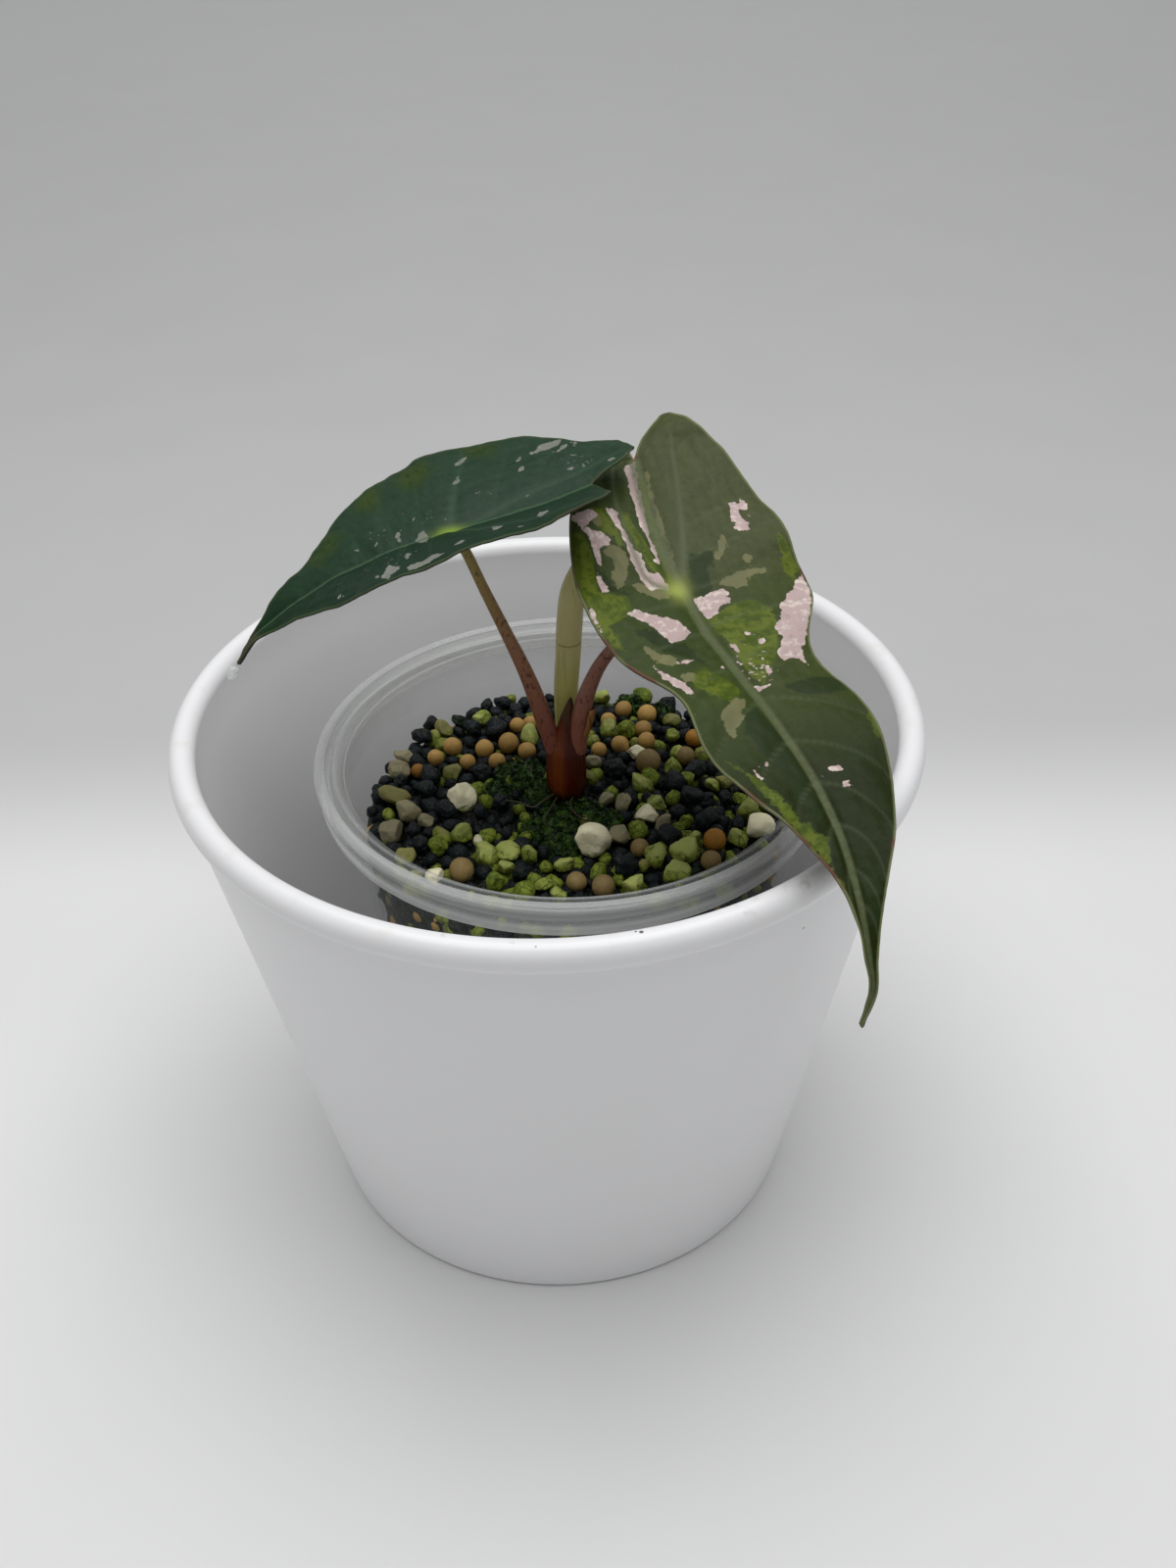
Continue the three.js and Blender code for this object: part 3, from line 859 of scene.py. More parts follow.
@dataclass(frozen=True)
class ShootSkin(Finish):
    """The rolled young leaf, pale yellow-green and silky."""

    title: str = "shoot_skin"
    low: Colour = (0.56, 0.54, 0.15)
    high: Colour = (0.64, 0.58, 0.25)
    shade_green: Colour = (0.28, 0.34, 0.06)
    crease: float = 109.6

    def shader(self, bench: ShaderBench) -> bpy.types.NodeSocket:
        """Long soft streaks, a crease line across and greener edges.

        Args:
            bench: The bench to set it out on.

        Returns:
            The shader's socket.
        """
        place = bench.place()
        height = bench.part(place, "Z")
        streak = bench.noise(bench.place((1, 1, 0.06)), 1.3, 4)
        colour = bench.mix(self.low, self.high, (height + streak * 8).step(98, 112))
        colour = bench.mix(colour, self.shade_green, streak.step(0.02, 0.25) * 0.5)
        line = (height + bench.noise(place, 0.5, 1) * 0.6 - self.crease)
        line = line.step(-0.25, 0.0) * line.step(0.25, 0.0)
        colour = bench.mix(colour, (0.2, 0.15, 0.05), line * 0.55)
        return bench.surface({"Base Color": colour, "Roughness": 0.44, "Specular IOR Level": 0.35},
                             streak * 0.2 - line * 0.12)


@dataclass(frozen=True)
class PaperBract(Finish):
    """Dry orange sheath, thin as paper."""

    title: str = "bract"
    pale: Colour = (0.38, 0.17, 0.04)
    dark: Colour = (0.14, 0.045, 0.014)

    def shader(self, bench: ShaderBench) -> bpy.types.NodeSocket:
        """Fibres from pale to dark.

        Args:
            bench: The bench to set it out on.

        Returns:
            The shader's socket.
        """
        fibre = bench.noise(bench.place((1, 1, 0.15)), 2.2, 4)
        colour = bench.mix(self.dark, self.pale, fibre.step(-0.2, 0.2))
        return bench.surface({"Base Color": colour, "Roughness": 0.6, "IOR": 1.4}, fibre * 0.25)


@dataclass(frozen=True)
class WaterSkin(Finish):
    """Clear water, stained where the brown leaf tip reaches into it."""

    title: str = "water"
    clear: Colour = (0.62, 0.6, 0.5)
    foot: Colour = (0.3, 0.27, 0.08)
    stained: Colour = (0.1, 0.075, 0.055)

    def shader(self, bench: ShaderBench) -> bpy.types.NodeSocket:
        """Refracting, brown above, clear below, olive at its foot.

        Args:
            bench: The bench to set it out on.

        Returns:
            The shader's socket.
        """
        place = bench.place()
        height = bench.part(place, "Z")
        colour = bench.mix(self.foot, self.clear, height.step(111.2, 111.8))
        colour = bench.mix(colour, self.stained, height.step(111.9, 112.8))
        ripple = bench.noise(place, 0.8, 2)
        return bench.surface({"Base Color": colour, "Roughness": 0.02, "IOR": 1.33,
                              "Transmission Weight": 1.0}, ripple * 0.02)


@dataclass(frozen=True)
class BladeSkin(Finish):
    """A patterned leaf. The blade keeps distances to its patches; noise gives them their ragged edges."""

    title: str
    lobe: Colour
    body: Colour
    low: Colour
    tip: Colour
    # near: the tone of the half with hand -1; how it differs from the other half is painted sheen and light.
    near: Colour
    vivid: Colour
    vivid_deep: Colour
    dark: Colour
    khaki: Colour
    pale: Colour
    pale_light: Colour
    pale_grey: Colour
    rib: Colour
    vein: Colour
    stem: Colour
    margin: Colour
    blush: Colour
    under: Colour
    under_rib: Colour
    body_span: Flat
    low_span: Flat
    near_sheen_share: float
    rib_width: Flat
    fleck_level: float
    roughness: float
    tip_span: Flat
    vivid_edge: Flat
    gloss: float = 0.1
    vein_share: float = 0.6

    def streaks(self, bench: ShaderBench) -> Signal:
        """Noise drawn out along the lobes behind the stem and across the blade in front of it.

        Args:
            bench: The bench.

        Returns:
            The noise.
        """
        lobe = bench.noise(bench.place((0.3, 1.0, 0.0), "run"), 0.62, 4, 0.25)
        side = bench.noise(bench.place((0.0, 0.3, 1.0), "run"), 0.62, 4, 0.25)
        ahead = bench.mark("station").step(2.4, 3.8)
        return lobe * (1 - ahead) + side * ahead

    def ground(self, bench: ShaderBench, streak: Signal) -> bpy.types.NodeSocket:
        """The leaf's greens before any patch, with a painted difference of light between the two halves.

        Args:
            bench: The bench.
            streak: The streak noise.

        Returns:
            The colour's socket.
        """
        station, half = bench.mark("station") + streak * 0.9, bench.mark("half")
        colour = bench.mix(self.lobe, self.body, station.step(*self.body_span))
        # Painted sheen and light: the half with hand -1 takes the near tone.
        colour = bench.mix(colour, self.near, half.step(0.1, -0.1) * self.near_sheen_share)
        colour = bench.mix(colour, self.low, station.step(*self.low_span))
        colour = bench.mix(colour, self.tip, (bench.mark("share") + streak * 0.03).step(*self.tip_span))
        fine = bench.noise(bench.place(), 1.1, 4)
        return bench.shade(colour, streak * 0.8 + fine * 0.5 + 1.12)

    def shader(self, bench: ShaderBench) -> bpy.types.NodeSocket:
        """Greens, patches, flecks, veins, midrib and margin, with a paler underside.

        Args:
            bench: The bench to set it out on.

        Returns:
            The shader's socket.
        """
        streak = self.streaks(bench)
        place = bench.place()
        fine = bench.noise(place, 1.0, 4, 0.3)
        fret = streak * 2.6 + fine * 1.7
        colour = self.ground(bench, streak)
        dark = (bench.mark("dark") + fret).step(-0.3, 0.5)
        colour = bench.mix(colour, self.dark, dark * 0.85)
        vivid = (bench.mark("vivid") + fret).step(*self.vivid_edge)
        bright = bench.mix(self.vivid, self.vivid_deep, (streak + fine * 0.6).step(-0.12, 0.16))
        colour = bench.mix(colour, bright, vivid * 0.92)
        khaki = (bench.mark("khaki") + fret * 0.9).step(-0.1, 0.2)
        colour = bench.mix(colour, bench.shade(self.khaki, streak * 0.6 + 1.0), khaki * 0.85)
        fleck = bench.noise(bench.place((0.5, 0.75, 1.0), "run"), 1.8, 5) * 1.3 + bench.mark("fleck") * 0.34
        pale = (bench.mark("pale") + fret * 0.6).step(-0.03, 0.07) | fleck.step(
            self.fleck_level, self.fleck_level + 0.04) * 0.85
        cream = bench.mix(self.pale, self.pale_light, (streak + fine).step(0.0, 0.25) * 0.8)
        cream = bench.mix(cream, self.pale_grey, (fine - streak).step(0.12, 0.35) * 0.5)
        colour = bench.mix(colour, cream, pale)
        colour = bench.mix(colour, self.vein, bench.mark("vein") * self.vein_share)
        rib = bench.mark("rib")
        taper = 1.0 - bench.mark("share") * 0.72
        core = (rib / taper).step(self.rib_width[1], self.rib_width[0])
        colour = bench.mix(colour, self.rib, core * (fine * 0.9 + 0.75))
        colour = bench.mix(colour, self.stem, bench.mark("stem"))
        edge = bench.mark("edge")
        ragged = bench.noise(place, 0.12, 2)
        colour = bench.mix(colour, self.margin, edge.step(0.5, 0.12) * 0.8)
        colour = bench.mix(colour, self.blush, edge.step(0.75, 0.1) * ragged.step(0.04, 0.14) * 0.75)
        under = bench.mark("under")
        below = bench.mix(self.under, cream, pale * 0.45)
        below = bench.mix(below, self.under_rib, core | (bench.mark("vein") * 0.7))
        colour = bench.mix(colour, below, under)
        rough = fine * 0.14 + self.roughness + under * 0.12
        relief = fine * 0.05 + bench.noise(place, 3.2, 3) * 0.035
        return bench.surface({"Base Color": colour, "Roughness": rough, "Specular IOR Level": self.gloss},
                             relief)


PINK_BLADE = BladeSkin(
    title="pink_blade", lobe=(0.058, 0.068, 0.026), body=(0.042, 0.057, 0.013), low=(0.014, 0.021, 0.003),
    tip=(0.07, 0.066, 0.026), near=(0.034, 0.052, 0.011), vivid=(0.12, 0.155, 0.016),
    vivid_deep=(0.055, 0.085, 0.006), dark=(0.018, 0.032, 0.009), khaki=(0.18, 0.175, 0.085),
    pale=(0.5, 0.38, 0.37), pale_light=(0.74, 0.65, 0.58), pale_grey=(0.3, 0.24, 0.21),
    rib=(0.11, 0.13, 0.06), vein=(0.11, 0.13, 0.07), stem=(0.33, 0.38, 0.09), margin=(0.2, 0.22, 0.1),
    blush=(0.13, 0.03, 0.03), under=(0.09, 0.085, 0.06), under_rib=(0.2, 0.19, 0.09), body_span=(2.0, 4.2),
    low_span=(5.2, 7.4), near_sheen_share=0.8, rib_width=(0.3, 1.5), fleck_level=0.42, roughness=0.42,
    tip_span=(0.9, 0.985), vivid_edge=(-0.15, 0.35), vein_share=0.8)
DARK_BLADE = BladeSkin(
    title="dark_blade", lobe=(0.008, 0.027, 0.012), body=(0.006, 0.024, 0.01), low=(0.008, 0.026, 0.01),
    tip=(0.05, 0.036, 0.02), near=(0.02, 0.044, 0.024), vivid=(0.04, 0.065, 0.012),
    vivid_deep=(0.02, 0.045, 0.01), dark=(0.004, 0.015, 0.008), khaki=(0.03, 0.05, 0.025),
    pale=(0.19, 0.2, 0.17), pale_light=(0.24, 0.24, 0.21), pale_grey=(0.12, 0.14, 0.11),
    rib=(0.06, 0.11, 0.06), vein=(0.05, 0.09, 0.05), stem=(0.2, 0.3, 0.04), margin=(0.06, 0.09, 0.04),
    blush=(0.06, 0.05, 0.03), under=(0.06, 0.055, 0.045), under_rib=(0.12, 0.11, 0.06), body_span=(1.0, 3.0),
    low_span=(6.0, 9.0), near_sheen_share=0.85, rib_width=(0.1, 0.62), fleck_level=0.37, roughness=0.38,
    tip_span=(0.74, 0.82), vivid_edge=(-2.0, 1.5), vein_share=0.5)


# Pots


@dataclass
class CoverPot:
    """The white outer pot, a plain taper with a rounded rim."""

    height: float = 99.7
    base_radius: float = 45.0
    neck_radius: float = 63.0
    rim_radius: float = 65.0
    rim_width: float = 4.7
    floor: float = 5.0
    wall: float = 3.2
    sides: int = 224
    finish: PotGlaze = PotGlaze()

    def profile(self) -> list[Flat]:
        """Radius and height from the foot, up outside, over the rim and down inside.

        Returns:
            The profile's points.
        """
        inner = self.base_radius - self.wall
        edge = 2.35
        return spaced([
            (0, 0), *arc((self.base_radius - 1.5, 1.5), (1.5, 1.5), -90, -10, 8),
            *arc((self.neck_radius + 0.5, self.height - self.rim_width - 1.6), (0.5, 0.9), 180, 110, 4),
            *arc((self.rim_radius - edge, self.height - edge - 0.3), (edge, edge + 0.3), -35, 180, 30),
            *arc((inner - 3, self.floor + 3), (3, 3), 0, -90, 8), (0, self.floor)], 6.0)

    def build(self) -> list[bpy.types.Object]:
        """Makes the pot.

        Returns:
            The finished piece.
        """
        pot = turned(self.profile(), self.sides).piece("white_pot", self.finish)
        return [dressed(pot, "pot", "cover_pot")]


@dataclass
class NurseryCup:
    """The clear cup that stands in the pot, with a wide stepped brim."""

    centre: Flat = (4.2, -1.3)
    top: float = 92.4
    rim_radius: float = 45.2
    skirt_drop: float = 6.2
    throat_radius: float = 39.8
    throat: float = 89.4
    base_radius: float = 29.5
    base: float = 5.3
    wall: float = 0.9
    sides: int = 192
    sharp: float = 0.3
    finish: ClearCup = ClearCup()

    def inner_radius(self, height: float) -> float:
        """Radius inside the wall at a height."""
        share = (height - self.base) / (self.throat - self.base)
        return self.base_radius + (self.throat_radius - self.base_radius) * share

    def profile(self) -> list[Flat]:
        """Radius and height from the foot, up outside, over the brim and down inside.

        Returns:
            The profile's points.
        """
        seat, skirt, foot = self.throat_radius + 1.7, self.rim_radius - 0.9, self.top - self.skirt_drop
        floor = self.base + self.wall
        return spaced([
            (0, self.base), (self.base_radius - 0.1, self.base),
            (self.base_radius + 0.9, self.base + 1),
            *arc((self.throat_radius + 0.9 - 1.4, self.throat - 2.0), (1.4, 1.4), 0, 30, 3),
            (seat + 0.9, self.top - 2.5), *arc((seat + 1.2, self.top - 2.9), (0.9, 0.7), 90, 40, 3),
            *arc((skirt - 1.6, foot + 1.9), (0.7, 0.7), 60, 0, 3), (skirt - 0.9, foot), (skirt, foot),
            *arc((skirt - 0.1, foot + 1.3), (0.35, 0.5), -60, 60, 4),
            *arc((self.rim_radius - 1.1, self.top - 1.1), (1.1, 1.1), -20, 150, 12),
            *arc((seat + 2.1, self.top - 0.6), (0.7, 0.5), -60, -120, 3),
            *arc((seat + 0.3, self.top - 1.2), (0.6, 0.35), 60, 140, 4),
            *arc((self.throat_radius + 0.6, self.throat + 0.4), (0.6, 0.8), 110, 180, 4),
            (self.inner_radius(floor), floor), (0, floor)], 5.0)

    def build(self) -> list[bpy.types.Object]:
        """Makes the cup.

        Returns:
            The finished piece.
        """
        profile = self.profile()
        shell = turned(profile, self.sides, self.centre)
        radii, heights = np.array(profile).T
        # The profile's bends near the brim make the mask for the cup's painted lip highlights.
        turns = np.unwrap(np.arctan2(np.diff(heights), np.diff(radii)))
        bends = np.pad(np.clip(np.abs(np.diff(turns)) / self.sharp, 0, 1), 1)
        bends *= heights > self.top - self.skirt_drop - 1
        shell.marks["lip_glint"] = np.repeat(bends, np.where(radii > AXIS, self.sides, 1))
        return [dressed(shell.piece("clear_cup", self.finish), "cup", "nursery_cup")]


# Grit


class Grit(Enum):
    """The kinds of grain: stone set, colour, and how much algae grows on it."""

    LAVA = ("lava", (0.004, 0.008, 0.01), 0.0)
    PRILL = ("ball", (0.42, 0.25, 0.065), 0.0)
    TAN = ("ball", (0.24, 0.165, 0.055), 0.0)
    AMBER = ("ball", (0.32, 0.14, 0.01), 0.0)
    LIME = ("pumice", (0.34, 0.38, 0.1), 0.6)
    GREEN = ("pumice", (0.09, 0.14, 0.012), 0.85)
    WHITE = ("pumice", (0.85, 0.8, 0.55), 0.3)
    CREAM = ("pumice", (0.27, 0.24, 0.14), 0.22)
    KHAKI = ("pumice", (0.24, 0.23, 0.07), 0.42)

    def __init__(self, stones: str, colour: Colour, algae: float) -> None:
        """Keeps the three facts of a kind.

        Args:
            stones: The set of stones it is made from.
            colour: Its colour.
            algae: How much of it algae covers.
        """
        self.stones, self.colour, self.algae = stones, colour, algae


PLACED: dict[Grit, tuple[float, ...]] = {
    Grit.LAVA: (-24.5, 20.5, 2, -23, 25, 1.7, -17.5, 26, 1.5, -15, 23, 1.7, -10.5, 22, 2.2, -9.5, 32, 1.5, -7,
        29.5, 1.3, -6, 26.5, 1.3, -9, 25, 1.7, -12.5, 31, 1.5, -22, 7.5, 2, -27.5, 6.5, 1.4, -12.5, 8, 1.8,
        -1.5, 13, 1.3, -9, -1, 1.8, -12.5, -4, 1.6, -18.5, -3.5, 2.1, -22.5, 3, 2.1, -24, -8.5, 1.6, -22.5, -13,
        1.7, -5, -21.5, 1.5, 12, 8, 2.3, 6.5, 14, 1.3, 22.5, 29.5, 1.7, 20.5, 21.5, 1.1, 26.5, 7.5, 1.8, 22.5,
        3.5, 2.1, 25.5, -1, 2.1, 31.5, -1.5, 1.6, 27.5, -8, 2.2, 22.5, -5.5, 1.6, 20.5, -12, 1.7, 33, -9, 1.5,
        13, -20.5, 2.2, 28, -2, 1.6, 17.5, -0.5, 1.1),
    Grit.PRILL: (-18.5, 17, 1.8, -12.5, 16, 1.8, -8, 17.5, 2, -6.5, 24, 1.5, -4, 24.5, 1.5, -21.5, 13.5, 1.6,
        -15.5, 12, 1.5, -10, 12, 1.6, -6.5, 10.5, 1.5, -4.5, 15, 1.7, 9, 15, 1.5, 13, 16.5, 1.7, 11, 25, 1.5,
        14, 28.5, 1.7, 18.5, 26.5, 1.9, 17.5, 21.5, 1.7, 18, 17.5, 1.7),
    Grit.TAN: (-15, -21, 2.2, 4.5, -24.5, 1.8, 9, -26, 2, 15.5, -15.5, 1.7, 27.5, -19.5, 1.8, 18, 10, 2.4, 25,
        12, 1.8),
    Grit.AMBER: (-24.5, 9.5, 1.4, 28.5, -14, 2, 27, 18, 1.7),
    Grit.KHAKI: (-20.5, 23, 1.7, -18, 8.5, 2, -28, 1, 2.3, -25, -16.5, 1.7, 6, -7, 1.2, 7, 6.5, 1.4, 23, 24.5,
        1.3, 31.5, 4, 1.6, 16, -20, 1),
    Grit.LIME: (-13.5, 26.5, 1.5, -8, 34, 1, -4, 19, 2, -15.5, -10.5, 1.9, -11, -16.5, 1.9, -7.5, -16, 2, -3.5,
        -16.5, 1.7, -7.5, -20, 1.8, 2.5, -19.5, 1.8, -1, -25, 1.6, 1.5, -28, 1.5, 14, -26, 2, 18, -18, 2.2,
        23.5, -17, 2.5, 21.5, -23, 2.2, 25, -13.5, 1.4, 32.5, -13, 1.5, 16.5, 3.5, 2, 11, 21.5, 2.1, 10, 32.5,
        1.9, 23, 19.5, 1.5, 23.5, 13, 1.5, 22.5, 9, 1.4, 29.5, 2.5, 1.6, 19, -2.5, 1.8, 35, -5.5, 2.1),
    Grit.GREEN: (-7.5, 5, 1.4, -19.5, -13.5, 1.5, -9, -24.5, 2, -4.5, -26.5, 1.6, 31, -18.5, 1.3, 14.5, 21, 2,
        17.5, 32, 1.9, 25, 5, 1.4, 34, -1.5, 1.4, 24, -7.5, 1.2),
    Grit.WHITE: (-16, 0, 2.3, -12.5, -12, 1, -19.5, -22, 1.7, 7.5, -14.5, 3.4, 17, -6, 1.9, 36.5, -11, 2.6, 16,
        14, 1.5),
    Grit.CREAM: (-27.5, 14, 1.6, -28, 9.5, 1.8, -25.5, -3.5, 2.1, -22, -6, 1.2, -28, -10, 2.4, 12, -11.5, 1.9,
        10, -0.5, 1.4, 13, -2, 1.6, 20, -8.5, 1.7, 8, 11, 1.6),
}
"""Grains that can be told apart, by kind, as x, y and radius one after the other."""


@dataclass
class Grain:
    """One grain: its kind, middle and radius."""

    kind: Grit
    middle: Point
    radius: float


@dataclass
class GritBed:
    """The cup's filling: a dark bed under placed grains, with seeded grains packed round and below them."""

    cup: NurseryCup
    hole: Point = (3.1, 1.0, 4.3)
    level: float = 77.6
    foot: float = 6.6
    top_tries: int = 1680
    wall_gap: float = 0.45
    wall_spacing: float = 3.3
    fine_shapes: int = 5
    plain_shapes: int = 4
    faces_cut: int = 11
    wall_rows: tuple[float, ...] = (75.5, 71.5, 67.5, 63.5, 59.5, 55.5, 51.5, 47.5)
    seed: int = 23
    squash: dict[str, float] = field(default_factory=lambda: {"lava": 0.2, "ball": 0.03, "pumice": 0.26})
    finishes: dict[str, Finish] = field(default_factory=lambda: {
        "lava": LavaCrust(), "ball": PrillCoat(), "pumice": PumiceFace()})

    def free(self, spot: Point, radius: float, taken: Sequence[Grain], overlap: float) -> bool:
        """Says whether a grain fits.

        Args:
            spot: Its middle.
            radius: Its radius.
            taken: The grains that are there.
            overlap: The share of two radii that has to stay between them.

        Returns:
            True where nothing is in the way.
        """
        if math.dist(spot[:2], self.hole[:2]) < self.hole[2] + radius:
            return False
        return all(math.dist(spot, grain.middle) > overlap * (radius + grain.radius) for grain in taken)

    def grains(self) -> list[Grain]:
        """Places every grain.

        Returns:
            The placed ones, then the fillers of the top, then those along the wall.
        """
        rng = np.random.default_rng(self.seed)
        found = [Grain(kind, (x, y, self.level + 1.2 + 0.66 * radius), radius)
                 for kind, places in PLACED.items() for x, y, radius in np.reshape(places, (-1, 3)).tolist()]
        reach = self.cup.inner_radius(self.level) - 0.5
        dry, mossy = (Grit.LAVA,) * 5 + (Grit.KHAKI,), (Grit.LAVA,) * 4 + (Grit.GREEN,) * 2
        for depth, overlap in ((1.2, 0.84), (0.4, 0.82), (-0.5, 0.7)):
            for _ in range(self.top_tries):
                radius = rng.uniform(1.1, 1.9)
                away, turn = (reach - radius) * math.sqrt(rng.random()), rng.uniform(0, TAU)
                spot = (self.cup.centre[0] + away * math.cos(turn), self.cup.centre[1] + away * math.sin(turn),
                        self.level + depth + rng.uniform(-0.3, 0.3))
                if self.free(spot, radius, found, overlap):
                    kinds = mossy if spot[0] > -14.2 and spot[1] < 9 else dry
                    found.append(Grain(kinds[rng.integers(len(kinds))], spot, radius))
        kinds = (Grit.LAVA, Grit.LAVA, Grit.LAVA, Grit.PRILL, Grit.KHAKI, Grit.CREAM, Grit.GREEN, Grit.TAN)
        for height in self.wall_rows:
            ring = self.cup.inner_radius(height)
            count = int(TAU * ring / self.wall_spacing)
            for k in range(count):
                radius = rng.uniform(1.2, 1.8)
                turn = (k + rng.uniform(-0.3, 0.3)) * TAU / count
                away = ring - self.wall_gap - radius
                found.append(Grain(kinds[rng.integers(len(kinds))], (
                    self.cup.centre[0] + away * math.cos(turn), self.cup.centre[1] + away * math.sin(turn),
                    height + rng.uniform(-1, 1)), radius))
        return found

    def stone(self, stones: str, detail: int, seed: int) -> Shell:
        """Makes one stone of radius 1.

        Args:
            stones: ball, lava or pumice.
            detail: Subdivisions of its sphere.
            seed: Fixes its shape.

        Returns:
            Its shell, 1 m in radius, which the tree scales to size.
        """
        form = bmesh.new()
        bmesh.ops.create_icosphere(form, subdivisions=detail, radius=1.0)
        points = np.array([corner.co for corner in form.verts])
        faces = [tuple(corner.index for corner in face.verts) for face in form.faces]
        form.free()
        rng = np.random.default_rng(seed)
        if stones == "ball":
            points = points * (1 + 0.025 * smooth_noise(points, 2.0, seed))[:, None]
        elif stones == "lava":
            swell = 0.16 * smooth_noise(points, 1.7, seed) + 0.07 * smooth_noise(points, 0.8, seed + 50)
            points = points * (0.95 + swell)[:, None] * rng.uniform(0.85, 1.12, 3)
        else:
            cuts = unit(rng.normal(size=(self.faces_cut, 3)))
            reach = rng.uniform(0.68, 0.96, self.faces_cut)
            lean = points @ cuts.T
            flat = np.min(np.where(lean > 0.2, reach / np.maximum(lean, 1e-3), 1.25), axis=1)
            rough = 0.035 * smooth_noise(points, 0.7, seed + 90)
            points = points * (np.minimum(flat, 1.12) + rough)[:, None] * rng.uniform(0.85, 1.2, 3)
        return Shell(points / MM, faces)

    def recipe(self) -> Recipe:
        """The tree that sets a stone on each point, with its size, turn and a little squash.

        Returns:
            The tree.
        """
        recipe = Recipe("grains", {"Stones": "NodeSocketCollection", "Size": "NodeSocketFloat",
                                   "Squash": "NodeSocketFloat", "Seed": "NodeSocketInt",
                                   "Finish": "NodeSocketMaterial"})
        given = recipe.given
        stones = recipe.node("GeometryNodeCollectionInfo", {"transform_space": "ORIGINAL"}, {
            "Collection": given["Stones"], "Separate Children": True, "Reset Children": True})
        turn = recipe.node("FunctionNodeEulerToRotation", values={0: recipe.reading("turn", "FLOAT_VECTOR")})
        change = Signal(recipe, given["Squash"])
        squash = recipe.node("FunctionNodeRandomValue", {"data_type": "FLOAT_VECTOR"}, {
            0: 1 - change, 1: 1 + change, "Seed": given["Seed"]})
        scale = recipe.node("ShaderNodeVectorMath", {"operation": "SCALE"}, {
            0: squash.outputs[0], "Scale": Signal(recipe, recipe.reading("size")) * given["Size"]})
        placed = recipe.node("GeometryNodeInstanceOnPoints", values={
            "Points": given["Geometry"], "Instance": stones.outputs[0], "Pick Instance": True,
            "Instance Index": recipe.reading("shape", "INT"), "Rotation": turn.outputs[0],
            "Scale": scale.outputs[0]})
        recipe.close(placed.outputs[0])
        return recipe

    def bed(self) -> bpy.types.Object:
        """The dark bed below the grains, uneven on top, with the bulb's hole.

        Returns:
            The bed.
        """
        x, y = self.cup.centre
        top = self.level
        rows = [(0.0, self.foot), (self.cup.inner_radius(self.foot) - 0.9, self.foot),
                (self.cup.inner_radius(top) - 1.1, top - 1), (self.cup.inner_radius(top) - 2, top)]
        rows += [(radius, top) for radius in np.linspace(self.cup.inner_radius(top) - 3, 0, 24)]
        shell = turned(spaced(rows, 4.0), 120, (x, y))
        away = np.hypot(shell.points[:, 0] - self.hole[0], shell.points[:, 1] - self.hole[1])
        upper = shell.points[:, 2] > top - 0.5
        bump = 0.9 * smooth_noise(shell.points, 4.0, 5) + 0.4 * smooth_noise(shell.points, 2.0, 6)
        shell.points[upper, 2] += bump[upper]
        shell.points[upper & (away < self.hole[2]), 2] -= 2.0
        # The bed's near-black finish is painted shade for the gaps between the grains.
        return shell.piece("damp_bed", ShadedFines())

    def build(self) -> list[bpy.types.Object]:
        """Makes the bed and one piece of grains for each stone set.

        Returns:
            The finished pieces.
        """
        rng = np.random.default_rng(self.seed + 1)
        recipe = self.recipe()
        grains = self.grains()
        whole = sum(len(places) for places in PLACED.values()) // 3
        pieces = [dressed(self.bed(), "grains", "substrate")]
        for stones, finish in self.finishes.items():
            shelf = bpy.data.collections.new(f"{stones}_stones")
            detail = 3 if stones == "ball" else 4
            shapes = [self.stone(stones, detail, 10 * k + len(stones)).piece(f"{stones}_{k:02d}")
                      for k in range(self.fine_shapes)]
            shapes += [self.stone(stones, 2, 10 * k + 3 + len(stones)).piece(f"{stones}_{k:02d}")
                       for k in range(self.fine_shapes, self.fine_shapes + self.plain_shapes)]
            for shape in shapes:
                bpy.context.scene.collection.objects.unlink(shape)
                shelf.objects.link(shape)
            mine = [(k, grain) for k, grain in enumerate(grains) if grain.kind.stones == stones]
            hues = np.array([grain.kind.colour for _, grain in mine]) * rng.uniform(0.78, 1.2, (len(mine), 1))
            marks = {
                "size": np.array([grain.radius for _, grain in mine]),
                "turn": rng.uniform(0, TAU, (len(mine), 3)),
                "shape": np.array([rng.integers(self.fine_shapes) if k < whole
                                   else self.fine_shapes + rng.integers(self.plain_shapes) for k, _ in mine]),
                "hue": hues,
                "algae": np.array([grain.kind.algae for _, grain in mine])
                + rng.uniform(-0.08, 0.08, len(mine)),
            }
            piece = Shell(np.array([grain.middle for _, grain in mine]), [], marks).piece(f"{stones}_grains")
            recipe.grow(piece, {"Stones": shelf, "Size": MM, "Squash": self.squash[stones],
                                "Seed": self.seed, "Finish": finish.material()})
            for shape in shapes:
                bpy.data.objects.remove(shape)
            bpy.data.collections.remove(shelf)
            pieces.append(dressed(piece, "grains", "substrate"))
        return pieces


